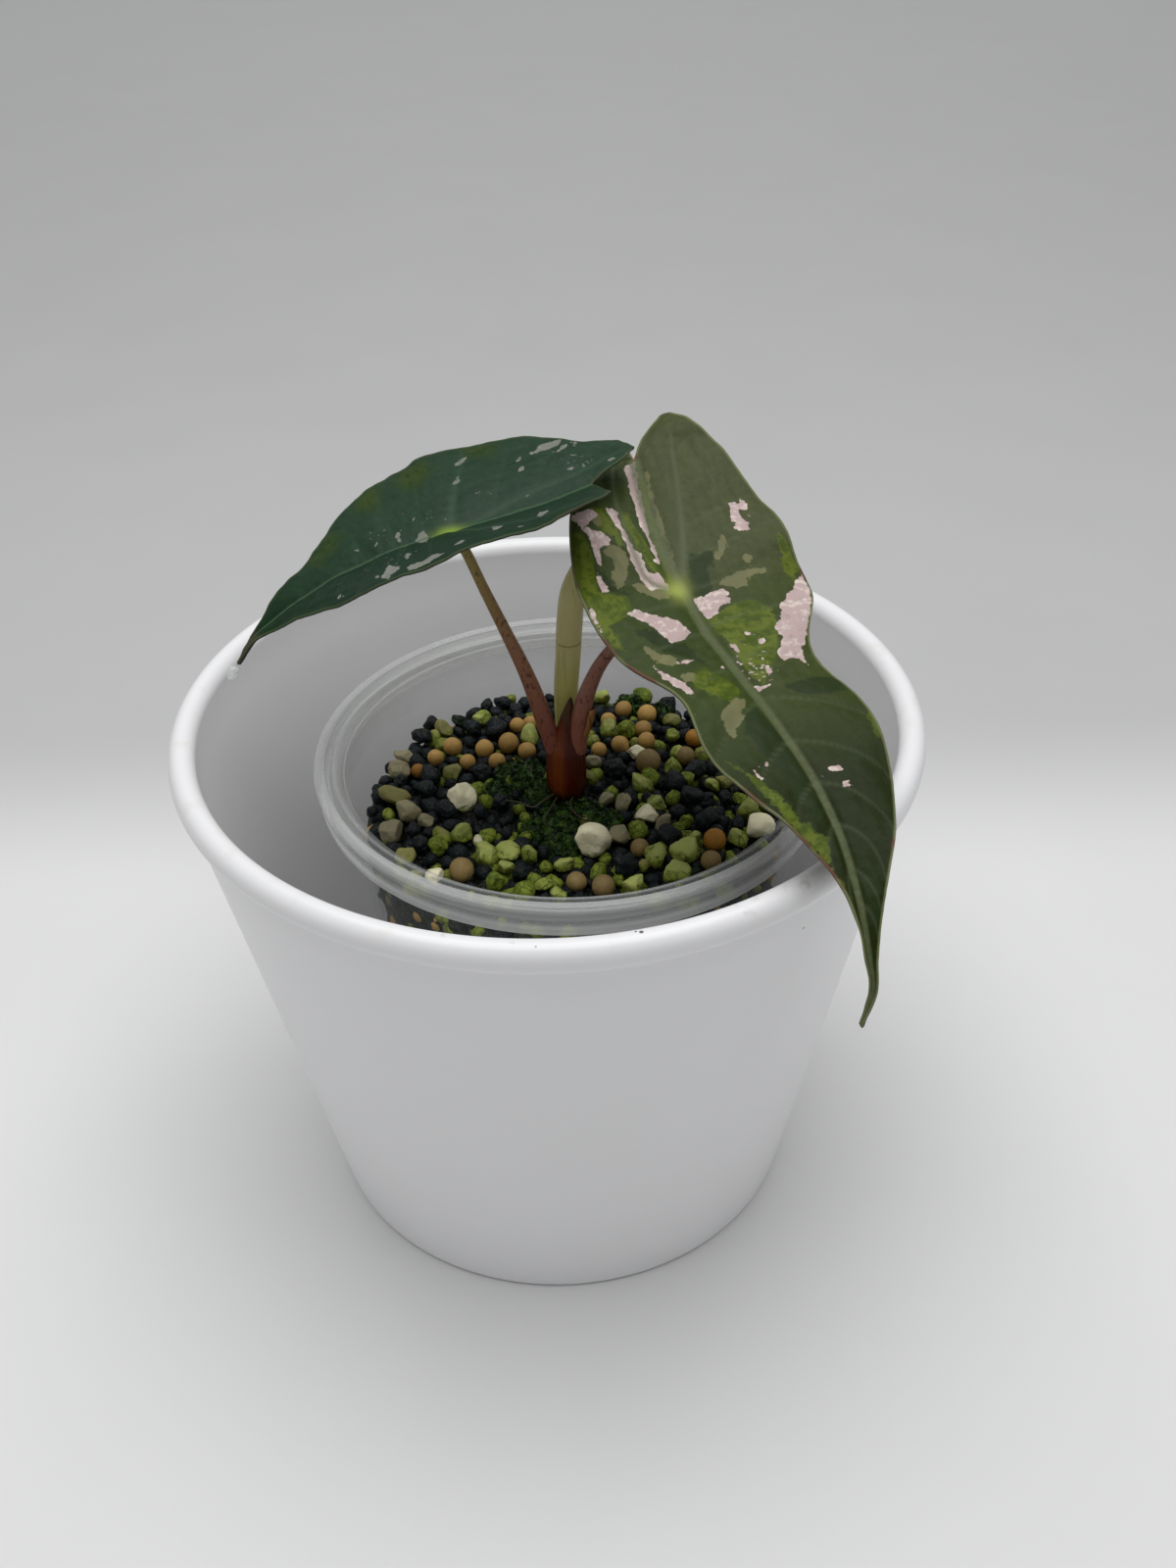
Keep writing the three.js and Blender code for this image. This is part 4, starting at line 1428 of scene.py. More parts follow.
@dataclass
class Moss:
    """Low cushions of moss round the bulb, grown as tufts on seeded points."""

    cushions: tuple[tuple[float, float, float, float], ...] = (
        (-5.5, 7.0, 4.6, 81.6), (-2.0, 2.0, 3.2, 81.2), (-9.5, 3.0, 2.8, 80.8), (1.5, -6.5, 4.8, 80.8),
        (6.0, -4.5, 4.0, 80.6), (2.0, -12.0, 4.6, 80.4), (-2.5, -9.0, 3.4, 80.3), (10.0, -7.0, 2.8, 80.2),
        (16.0, 30.5, 3.0, 81.0), (21.0, 28.0, 2.4, 80.6))
    spread: float = 1.3
    leaf: float = 0.95
    leaflets: int = 5
    seed: int = 7

    def ground(self) -> Shell:
        """The cushions themselves, as low uneven domes.

        Returns:
            A closed shell for each cushion, as one.
        """
        domes = []
        for k, (x, y, radius, top) in enumerate(self.cushions):
            dome = turned([(0, top - 4.0), (radius, top - 3.2), *arc((0, top - 3.0), (radius, 3.0), 5, 80, 7),
                           (0, top)], 28, (x, y))
            centre = np.array((x, y, top - 3.0))
            swell = 1 + 0.16 * smooth_noise(dome.points, 2.4, k) + 0.07 * smooth_noise(dome.points, 1.0, k + 40)
            dome.points = centre + (dome.points - centre) * swell[:, None]
            domes.append(dome)
        return joined(domes)

    def tuft(self) -> Shell:
        """Five pointed leaflets that open from one foot.

        Returns:
            An open shell, 1 m in the tree's units.
        """
        points, faces = [], []
        for k in range(self.leaflets):
            turn = k * TAU / self.leaflets + 0.3 * (k % 2)
            out = np.array((math.cos(turn), math.sin(turn), 0.0))
            side = np.array((-out[1], out[0], 0.0))
            foot, tip = np.zeros(3), out * 0.8 + np.array((0, 0, 0.75))
            middle = out * 0.42 + np.array((0, 0, 0.5))
            start = len(points)
            points += [foot, middle + side * 0.24, tip, middle - side * 0.24]
            faces += [(start, start + 1, start + 3), (start + 1, start + 2, start + 3)]
        return Shell(np.array(points) / MM, faces)

    def recipe(self) -> Recipe:
        """The tree that scatters tufts over the cushions and keeps the cushions under them.

        Returns:
            The tree.
        """
        recipe = Recipe("moss_tufts", {"Tuft": "NodeSocketObject", "Density": "NodeSocketFloat",
                                       "Leaf": "NodeSocketFloat", "Seed": "NodeSocketInt",
                                       "Finish": "NodeSocketMaterial"})
        given = recipe.given
        spots = recipe.node("GeometryNodeDistributePointsOnFaces", values={
            "Mesh": given["Geometry"], "Density": given["Density"], "Seed": given["Seed"]})
        tuft = recipe.node("GeometryNodeObjectInfo", values={"Object": given["Tuft"]})
        size = recipe.node("FunctionNodeRandomValue", values={2: 0.55, 3: 1.25, "Seed": given["Seed"]})
        turn = recipe.node("FunctionNodeRandomValue", {"data_type": "FLOAT_VECTOR"}, {
            0: (-0.5, -0.5, 0.0), 1: (0.5, 0.5, TAU), "Seed": given["Seed"]})
        twist = recipe.node("FunctionNodeEulerToRotation", values={0: turn.outputs[0]})
        stand = recipe.node("FunctionNodeRotateRotation", {"rotation_space": "LOCAL"}, {
            0: spots.outputs["Rotation"], 1: twist.outputs[0]})
        placed = recipe.node("GeometryNodeInstanceOnPoints", values={
            "Points": spots.outputs[0], "Instance": tuft.outputs["Geometry"], "Rotation": stand.outputs[0],
            "Scale": Signal(recipe, size.outputs[1]) * given["Leaf"]})
        both = recipe.node("GeometryNodeJoinGeometry")
        for part in (given["Geometry"], placed.outputs[0]):
            recipe.tree.links.new(part, both.inputs[0])
        recipe.close(both.outputs[0])
        return recipe

    def build(self) -> list[bpy.types.Object]:
        """Grows the moss.

        Returns:
            The finished piece.
        """
        tuft = self.tuft().piece("tuft")
        moss = self.ground().piece("moss")
        self.recipe().grow(moss, {"Tuft": tuft, "Density": self.spread / MM ** 2, "Leaf": self.leaf * MM,
                                  "Seed": self.seed, "Finish": MossGreen().material()})
        bpy.data.objects.remove(tuft)
        return [dressed(moss, "grains", "substrate")]


# Stems


@dataclass
class StemPath:
    """A stem's middle line, with a radius at each of its points."""

    points: tuple[Point, ...]
    radii: tuple[float, ...]

    def line(self, steps: int) -> Shell:
        """The middle line as joined points that carry "thick" and "along".

        Args:
            steps: Number of spans.

        Returns:
            A shell of edges only.
        """
        shares = np.linspace(0, 1, steps + 1)
        radii = smooth_curve([[radius] for radius in self.radii], shares)[:, 0]
        return Shell(smooth_curve(self.points, shares), [], {"thick": radii, "along": shares})


@dataclass
class Tubes:
    """The tree that turns a line into a round stem of its own thickness."""

    steps: int = 72
    sides: int = 28

    def __post_init__(self) -> None:
        """Builds the tree, which every stem shares."""
        self.recipe = Recipe("round_stem", {"Sides": "NodeSocketInt", "Girth": "NodeSocketFloat",
                                            "Finish": "NodeSocketMaterial"})
        node, given = self.recipe.node, self.recipe.given
        curve = node("GeometryNodeMeshToCurve", values={0: given["Geometry"]})
        ring = node("GeometryNodeCurvePrimitiveCircle", values={
            "Resolution": given["Sides"], "Radius": given["Girth"]})
        tube = node("GeometryNodeCurveToMesh", values={
            "Curve": curve.outputs[0], "Profile Curve": ring.outputs[0],
            "Scale": self.recipe.reading("thick"), "Fill Caps": True})
        self.recipe.close(tube.outputs[0])

    def grow(self, name: str, path: StemPath, finish: Finish) -> bpy.types.Object:
        """Makes one stem.

        Args:
            name: The piece's name.
            path: Its middle line.
            finish: Its finish.

        Returns:
            The piece.
        """
        piece = path.line(self.steps).piece(name)
        mesh = piece.data
        mesh.edges.add(self.steps)
        mesh.edges.foreach_set("vertices", [k for i in range(self.steps) for k in (i, i + 1)])
        mesh.update()
        return self.recipe.grow(piece, {"Sides": self.sides, "Girth": MM, "Finish": finish.material()})


@dataclass
class Bract:
    """A thin dry flap of sheath that stands off a stem and draws in to a point."""

    foot: Point
    height: float
    width: float
    facing: float
    flare: float
    lean: Flat = (0.0, 0.0)
    thickness: float = 0.18
    rows: int = 16
    columns: int = 12

    def shell(self) -> Shell:
        """Bends a pointed sheet round the stem.

        Returns:
            A closed shell.
        """
        rows, columns = self.rows, self.columns
        faces: list[tuple[int, ...]] = []
        layers = []
        for layer in (0.0, self.thickness):
            grid = []
            for i in range(rows + 1):
                up = i / rows
                half = self.width * (1 - up) ** 0.55 * (0.8 + 0.45 * up) + 0.03
                stand = 0.25 + self.flare * up ** 1.8 + layer
                for k in range(columns + 1):
                    across = 2 * k / columns - 1
                    turn = math.radians(self.facing) + across * 0.95
                    radius = half + stand * (1 - 0.25 * across * across)
                    ragged = 0.1 * math.sin(9 * across + 5 * up) * up
                    grid.append((self.foot[0] + radius * math.cos(turn) + self.lean[0] * up,
                                 self.foot[1] + radius * math.sin(turn) + self.lean[1] * up,
                                 self.foot[2] + self.height * up + ragged))
            layers += grid
        wide, count = columns + 1, (rows + 1) * (columns + 1)
        for i in range(rows):
            for k in range(columns):
                a, b = i * wide + k, i * wide + k + 1
                faces += [(a, a + wide, b + wide, b),
                          (a + count, b + count, b + wide + count, a + wide + count)]
        rim = ([(k, k + 1) for k in range(columns)]
               + [(i * wide + columns, (i + 1) * wide + columns) for i in range(rows)]
               + [(rows * wide + k + 1, rows * wide + k) for k in range(columns)]
               + [((i + 1) * wide, i * wide) for i in range(rows)])
        faces += [(a, b, b + count, a + count) for a, b in rim]
        return Shell(np.array(layers), faces)


@dataclass
class BulbSheath:
    """The swollen stem foot in its sheath, drawn in to a dark tip that leans to the right."""

    centre: Flat = (3.1, 1.0)
    bottom: float = 68.0
    radius: float = 3.6
    shoulder: float = 90.0
    tip: float = 101.2
    lean: Flat = (1.1, -1.0)
    sides: int = 72

    def build(self) -> list[bpy.types.Object]:
        """Turns the flask, leans its neck and makes it a little uneven.

        Returns:
            The bulb.
        """
        neck = self.tip - self.shoulder
        knots = [(self.radius - 0.6, self.bottom + 3.4), (self.radius - 0.7, self.shoulder - 11),
                 (self.radius - 0.1, self.shoulder - 7), (self.radius, self.shoulder - 4),
                 (self.radius - 0.4, self.shoulder), (self.radius - 1.2, self.shoulder + 0.22 * neck),
                 (self.radius - 2, self.shoulder + 0.45 * neck),
                 (self.radius - 2.5, self.shoulder + 0.67 * neck),
                 (0.6, self.shoulder + 0.87 * neck), (0.25, self.tip - 0.3)]
        side = smooth_curve(knots, np.linspace(0, 1, 72))
        shell = turned([(0, self.bottom), *arc((0, self.bottom + 3.4), (self.radius - 0.6, 3.4), -80, -5, 8),
                        *map(tuple, side), (0, self.tip)], self.sides, self.centre)
        share = np.clip((shell.points[:, 2] - self.shoulder) / neck, 0, None) ** 2
        shell.points[:, 0] += self.lean[0] * share
        shell.points[:, 1] += self.lean[1] * share
        turn = np.arctan2(shell.points[:, 1] - self.centre[1], shell.points[:, 0] - self.centre[0])
        wall = np.stack((np.cos(turn), np.sin(turn)), axis=1)
        ribs = 0.07 * np.sin(turn * 9 + shell.points[:, 2] * 0.12) + 0.05 * np.sin(turn * 17 + 1)
        dent = 0.12 * smooth_noise(shell.points, 7.0, 3)
        fade = np.clip((self.tip - shell.points[:, 2]) / 6, 0, 1)[:, None]
        shell.points[:, :2] += wall * (ribs + dent)[:, None] * fade
        return [dressed(shell.piece("bulb", BulbSkin()), "bulb", "stem_base")]


LEFT_PATH = StemPath(
    ((0.9, 0.5, 90), (-0.6, 0.5, 96.5), (-3.3, 0.1, 106), (-6.3, -0.3, 114.3), (-9.6, -0.6, 123),
     (-12.3, -0.9, 130.4), (-14, -1, 131.9)), (1.5, 1.6, 1.3, 1.05, 0.9, 0.85, 0.8))
RIGHT_PATH = StemPath(
    ((5, 0, 90), (6, -0.2, 98.5), (8.4, -1.2, 106.5), (11.6, -2.6, 112.5), (16.4, -4.5, 118.2),
     (20.9, -6.2, 122), (22.4, -6.7, 123.1)), (1.6, 1.6, 1.25, 1.05, 1.0, 0.95, 0.85))
SHOOT_PATH = StemPath(
    ((3.2, 4.1, 89), (3.3, 4.6, 99), (3.9, 4.8, 107), (4.3, 5, 113), (5, 5.2, 119), (6.7, 5.6, 124),
     (8.7, 6.2, 126.8)), (1.8, 2.1, 2.2, 2.25, 2.1, 1.4, 0.45))


@dataclass
class Stems:
    """The two petioles with their sheath flaps, the rolled new leaf and the fine roots at the foot."""

    left_flap: Bract = field(default_factory=lambda: Bract(
        (-0.2, 0.3, 99.0), 3.4, 0.55, 200.0, 0.25, (-0.5, 0.0)))
    right_flap: Bract = field(default_factory=lambda: Bract(
        (6.1, -0.4, 94.0), 5.4, 0.95, -35.0, 0.7, (1.2, -0.3)))
    roots: tuple[StemPath, ...] = (
        StemPath(((0.6, -1.4, 81.6), (-1.1, -3.6, 81.9), (-3.0, -5.0, 81.5), (-5.6, -3.9, 81.8),
                  (-7.8, -2.2, 81.0), (-9.2, -1.6, 80.2)), (0.2, 0.18, 0.17, 0.16, 0.14, 0.1)),
        StemPath(((4.0, -2.2, 81.4), (3.6, -4.6, 81.6), (4.6, -6.9, 81.1), (6.6, -8.2, 80.4)),
                 (0.19, 0.17, 0.15, 0.09)),
        StemPath(((1.2, -1.8, 81.2), (0.2, -4.9, 81.4), (-0.9, -7.9, 80.9), (-0.4, -10.6, 80.0)),
                 (0.18, 0.16, 0.14, 0.08)))

    def shoot(self) -> bpy.types.Object:
        """The rolled leaf: a tube whose section steps where the outer edge laps over.

        Returns:
            The piece.
        """
        rings, sides = 110, 48
        shares = np.linspace(0, 1, rings)
        radii = smooth_curve([[radius] for radius in SHOOT_PATH.radii], shares)[:, 0]
        turns = np.linspace(0, TAU, sides, endpoint=False)
        lap = 0.965 + 0.075 * turns / TAU
        section = np.stack((np.cos(turns) * lap, np.sin(turns) * lap), axis=1)
        shell = swept(smooth_curve(SHOOT_PATH.points, shares), radii * 0.985, section)
        return shell.piece("rolled_leaf", ShootSkin())

    def build(self) -> list[bpy.types.Object]:
        """Grows the stems.

        Returns:
            The finished pieces.
        """
        tubes = Tubes()
        left = tubes.grow("left_petiole", LEFT_PATH, StemSkin())
        right = tubes.grow("right_petiole", RIGHT_PATH, StemSkin(
            title="right_petiole_skin", low=(0.26, 0.085, 0.055), middle=(0.3, 0.13, 0.09),
            high=(0.3, 0.14, 0.1), turn=(0.3, 0.95)))
        pieces = [dressed(left, "petiole", "petiole_left"), dressed(right, "petiole", "petiole_right")]
        for flap, name, node in ((self.left_flap, "left_flap", "petiole_left"),
                                 (self.right_flap, "right_flap", "petiole_right")):
            pieces.append(dressed(flap.shell().piece(name, PaperBract()), "petiole", node))
        pieces.append(dressed(self.shoot(), "shoot", "new_leaf"))
        for k, root in enumerate(self.roots):
            fine = tubes.grow(f"root_{k + 1}", root, StemSkin(
                title="root_skin", low=(0.05, 0.05, 0.012), middle=(0.035, 0.04, 0.01),
                high=(0.03, 0.04, 0.01)))
            pieces.append(dressed(fine, "grains", "substrate"))
        return pieces


# Leaves


LATERAL_BEND: tuple[Flat, ...] = ((0, 0), (0.12, 0.2), (0.3, 0.42), (0.55, 0.65), (0.82, 0.86), (1.05, 0.97))
"""How a side vein bends: its share of the shift at shares of the way across."""


def laterals(*veins: Flat) -> tuple[tuple[Flat, ...], ...]:
    """Side veins from the midrib to the margin.

    Args:
        veins: The station where each leaves the midrib, and how many stations further on it reaches the margin.

    Returns:
        The points of each, as station and share of the way across.
    """
    return tuple(tuple((start + shift * bend, across) for bend, across in LATERAL_BEND)
                 for start, shift in veins)


@dataclass(frozen=True)
class Half:
    """One side of a leaf: how wide and how raised it is at each midrib point, its rear lobe and its veins."""

    hand: int
    widths: tuple[float, ...]
    lifts: tuple[float, ...]
    lobe: tuple[tuple[Point, Point], ...]
    ribs: tuple[tuple[Flat, ...], ...]
    veins: tuple[tuple[Flat, ...], ...]


@dataclass(frozen=True)
class Patches:
    """A leaf's markings in plan: polygons for each kind, as x and y corner after corner, and spots for flecks.

    A spot has x, y, a radius and a strength.
    """

    pale: tuple[tuple[float, ...], ...] = ()
    khaki: tuple[tuple[float, ...], ...] = ()
    vivid: tuple[tuple[float, ...], ...] = ()
    dark: tuple[tuple[float, ...], ...] = ()
    flecks: tuple[tuple[float, float, float, float], ...] = ()


def span_distance(places: np.ndarray, start: np.ndarray, end: np.ndarray) -> tuple[np.ndarray, np.ndarray]:
    """Distance to a straight span.

    Args:
        places: Points.
        start: Where the span starts.
        end: Where it ends.

    Returns:
        The distance of each point, and the share of the span at its nearest place.
    """
    edge = end - start
    share = np.clip(((places - start) @ edge) / max(edge @ edge, 1e-9), 0, 1)
    return np.linalg.norm(places - start - share[:, None] * edge, axis=1), share


def polygon_distance(places: np.ndarray, corners: Sequence[float]) -> np.ndarray:
    """Distance to a polygon's outline in plan.

    Args:
        places: Points as x and y.
        corners: The polygon's x and y, corner after corner.

    Returns:
        Millimetres, positive inside.
    """
    outline = np.reshape(corners, (-1, 2)).astype(float)
    inside = np.zeros(len(places), bool)
    nearest = np.full(len(places), 1e9)
    x, y = places.T
    for a, b in zip(outline, np.roll(outline, -1, axis=0)):
        nearest = np.minimum(nearest, span_distance(places, a, b)[0])
        rise = b[1] - a[1] if abs(b[1] - a[1]) > 1e-9 else 1e-9
        inside ^= ((a[1] > y) != (b[1] > y)) & (x < a[0] + (b[0] - a[0]) * (y - a[1]) / rise)
    return np.where(inside, nearest, -nearest)


def path_distance(places: np.ndarray, path: np.ndarray) -> tuple[np.ndarray, np.ndarray]:
    """Distance to a path in space.

    Args:
        places: Points.
        path: The path's points.

    Returns:
        Millimetres for each point, and the share of the path at its nearest place.
    """
    nearest, where = np.full(len(places), 1e9), np.zeros(len(places))
    for k, (a, b) in enumerate(zip(path, path[1:])):
        gap, share = span_distance(places, a, b)
        closer = gap < nearest
        nearest = np.where(closer, gap, nearest)
        where = np.where(closer, (k + share) / (len(path) - 1), where)
    return nearest, where


@dataclass
class Leaf:
    """A blade swept from its midrib: margin, rear lobes, droop and waves by rule, then veins and patches."""

    name: str
    node: str
    slot: str
    midrib: tuple[Point, ...]
    halves: tuple[Half, Half]
    droop: float
    wave: Flat
    stem: Flat
    patches: Patches
    finish: BladeSkin
    stem_spot: Flat = (1.0, 0.75)
    rows_per_span: int = 15
    columns: int = 40
    margin_thickness: float = 0.38
    middle_thickness: float = 0.6
    keel: float = 1.1
    quilting: float = 0.2

    @property
    def last(self) -> int:
        """Number of spans of the midrib."""
        return len(self.midrib) - 1

    def frames(self, shares: np.ndarray) -> tuple[np.ndarray, np.ndarray]:
        """Directions of the blade along its midrib.

        Args:
            shares: Shares of the midrib.

        Returns:
            The directions to the left and up off the face.
        """
        ahead = unit(smooth_curve(self.midrib, np.minimum(1, shares + 1e-4))
                     - smooth_curve(self.midrib, np.maximum(0, shares - 1e-4)))
        left = unit(np.cross((0.0, 0.0, 1.0), ahead))
        return left, np.cross(ahead, left)

    def at(self, half: Half, stations: np.ndarray, across: np.ndarray) -> np.ndarray:
        """Places on one half of the blade.

        Args:
            half: The half.
            stations: Midrib spans from its start, negative in the lobe.
            across: Share of the way to the margin.

        Returns:
            One point for each.
        """
        lobe = half.lobe[::-1]
        shares = np.arange(self.last + 1) / self.last
        left, up = self.frames(shares)
        width, lift = np.array(half.widths)[:, None], np.radians(half.lifts)[:, None]
        rib = np.array(self.midrib, float)
        margin = (rib + left * half.hand * width * np.cos(lift)
                  + up * width * (np.sin(lift) - self.droop))
        outline = np.vstack([[outer for _, outer in lobe], margin])
        notch = np.vstack([[inner for inner, _ in lobe], rib[:1]])
        share = np.clip(stations, 0, None) / self.last
        inner = np.where(stations[:, None] < 0, smooth_curve(notch, stations / len(lobe) + 1),
                         smooth_curve(self.midrib, share))
        outer = smooth_curve(outline, (stations + len(lobe)) / (len(lobe) + self.last))
        _, up = self.frames(share)
        width = np.linalg.norm(outer - inner, axis=1)
        height, count = self.wave
        ripple = height * np.sin(share * count * TAU + half.hand)
        ripple += 0.12 * np.sin(stations * 3.1 + half.hand) + 0.06 * np.sin(stations * 7.7)
        calm = np.minimum(1, width / 8) * np.minimum(1, (1 - share) * 4)
        rise = width * self.droop * (across - across ** 2) + ripple * calm * across ** 3
        return inner + (outer - inner) * across[:, None] + up * rise[:, None]

    def sheet(self, half: Half) -> Shell:
        """One half of the upper face, with its marks.

        Args:
            half: The half.

        Returns:
            An open shell.
        """
        back = -len(half.lobe)
        count = (self.last - back) * self.rows_per_span
        steps = np.linspace(0, 1, self.columns + 1)
        stations = np.repeat(back + np.arange(count + 1) / self.rows_per_span, self.columns + 1)
        across = np.tile(steps, count + 1)
        points = self.at(half, stations, across)
        line = smooth_curve(self.midrib, np.linspace(0, 1, 160))
        rib = path_distance(points, line)[0]
        length = np.linalg.norm(np.diff(line, axis=0), axis=1).sum()
        grid = points.reshape(count + 1, self.columns + 1, 3)
        edge = path_distance(points, grid[:, -1])[0]
        notch = path_distance(points, grid[: 1 - back * self.rows_per_span, 0])[0]
        edge = np.minimum(edge, np.where(stations < 0.3, notch, 9.0))
        vein, quilt = np.zeros(len(points)), np.full(len(points), 9.0)
        for kind, width, power in ((half.ribs, 0.75, 1.0), (half.veins, 0.3, 0.4)):
            for path in kind:
                line = self.at(half, *smooth_curve(path, np.linspace(0, 1, 24)).T)
                gap, share = path_distance(points, line)
                reach = width * (1.1 - 0.75 * share)
                vein = np.maximum(vein, power * np.exp(-(gap / reach) ** 2) * (1 - 0.4 * share))
                quilt = np.minimum(quilt, gap)
        away = across * np.linalg.norm(grid[:, -1] - grid[:, 0], axis=1).repeat(self.columns + 1)
        place = stations / self.last * length
        plan = points[:, :2]
        marks = {
            "station": stations, "share": np.clip(stations, 0, None) / self.last,
            "half": np.full(len(points), float(half.hand)) * np.minimum(1, across * 8),
            "rib": np.where(stations < 0, 9.0, rib), "edge": np.minimum(edge, 9.0), "vein": vein,
            "quilt": np.minimum(quilt, rib), "under": np.zeros(len(points)),
            "run": np.stack((place, half.hand * away + 60, place - 0.35 * away), axis=1),
            "stem": np.exp(-(np.linalg.norm((plan - self.stem) * self.stem_spot, axis=1) / 1.7) ** 2),
            "fleck": sum((power * np.exp(-(np.linalg.norm(plan - (x, y), axis=1) / radius) ** 2)
                          for x, y, radius, power in self.patches.flecks), np.zeros(len(points))),
        }
        for kind in ("pale", "khaki", "vivid", "dark"):
            fields = [polygon_distance(plan, corners) for corners in getattr(self.patches, kind)]
            marks[kind] = np.clip(np.max(fields, axis=0), -6, 6) if fields else np.full(len(points), -6.0)
        wide = self.columns + 1
        faces = [(i * wide + k, (i + 1) * wide + k, (i + 1) * wide + k + 1, i * wide + k + 1)
                 for i in range(count) for k in range(self.columns)]
        if half.hand < 0:
            faces = [face[::-1] for face in faces]
        return Shell(points, faces, marks)

    def blade(self) -> Shell:
        """The closed blade: both halves joined, veins pressed in above and raised below, a wall at the margin.

        Returns:
            A closed shell with its marks.
        """
        open_sheet = joined([self.sheet(half) for half in self.halves])
        _, first, place = np.unique(np.round(open_sheet.points, 3), axis=0, return_index=True,
                                    return_inverse=True)
        place = place.ravel()
        faces = []
        for face in open_sheet.faces:
            corners = tuple(dict.fromkeys(int(place[i]) for i in face))
            if len(corners) > 2:
                faces.append(corners)
        points = open_sheet.points[first]
        marks = {title: numbers[first] for title, numbers in open_sheet.marks.items()}
        normals = np.zeros_like(points)
        for face in faces:
            a, b, c = points[face[0]], points[face[1]], points[face[2]]
            normals[list(face)] += np.cross(b - a, c - a)
        normals = unit(normals)
        share, rib, edge = marks["share"], marks["rib"], marks["edge"]
        taper = 1 - 0.7 * share
        bulge = self.quilting * (1 - np.exp(-(marks["quilt"] / 1.6) ** 2)) * np.clip(edge / 3, 0, 1)
        groove = 0.3 * np.exp(-(rib / (1.5 * taper)) ** 2) - 0.2 * np.exp(-(rib / (0.55 * taper)) ** 2)
        unevenness = 0.12 * smooth_noise(points, 9.0, 11) + 0.05 * smooth_noise(points, 3.0, 12)
        relief = bulge - groove - 0.1 * marks["vein"] + unevenness
        upper = points + normals * (relief - self.quilting)[:, None]
        thicker = self.middle_thickness - self.margin_thickness
        thick = self.margin_thickness + thicker * np.clip(edge / 5, 0, 1)
        ridge = self.keel * np.exp(-(rib / (0.85 * taper)) ** 2) * taper + 0.22 * marks["vein"]
        lower = upper - normals * (thick + ridge)[:, None]
        count = len(points)
        edges = {(face[k], face[(k + 1) % len(face)]) for face in faces for k in range(len(face))}
        rim = [(a, b) for a, b in edges if (b, a) not in edges]
        walls = [(b, a, a + count, b + count) for a, b in sorted(rim)]
        below = [tuple(i + count for i in face[::-1]) for face in faces]
        doubled = {title: np.concatenate((numbers, numbers)) for title, numbers in marks.items()}
        doubled["under"][count:] = 1.0
        doubled.pop("quilt")
        return Shell(np.concatenate((upper, lower)), faces + below + walls, doubled)

    def build(self) -> list[bpy.types.Object]:
        """Makes the leaf.

        Returns:
            The finished piece.
        """
        return [dressed(self.blade().piece(self.name, self.finish), self.slot, self.node)]


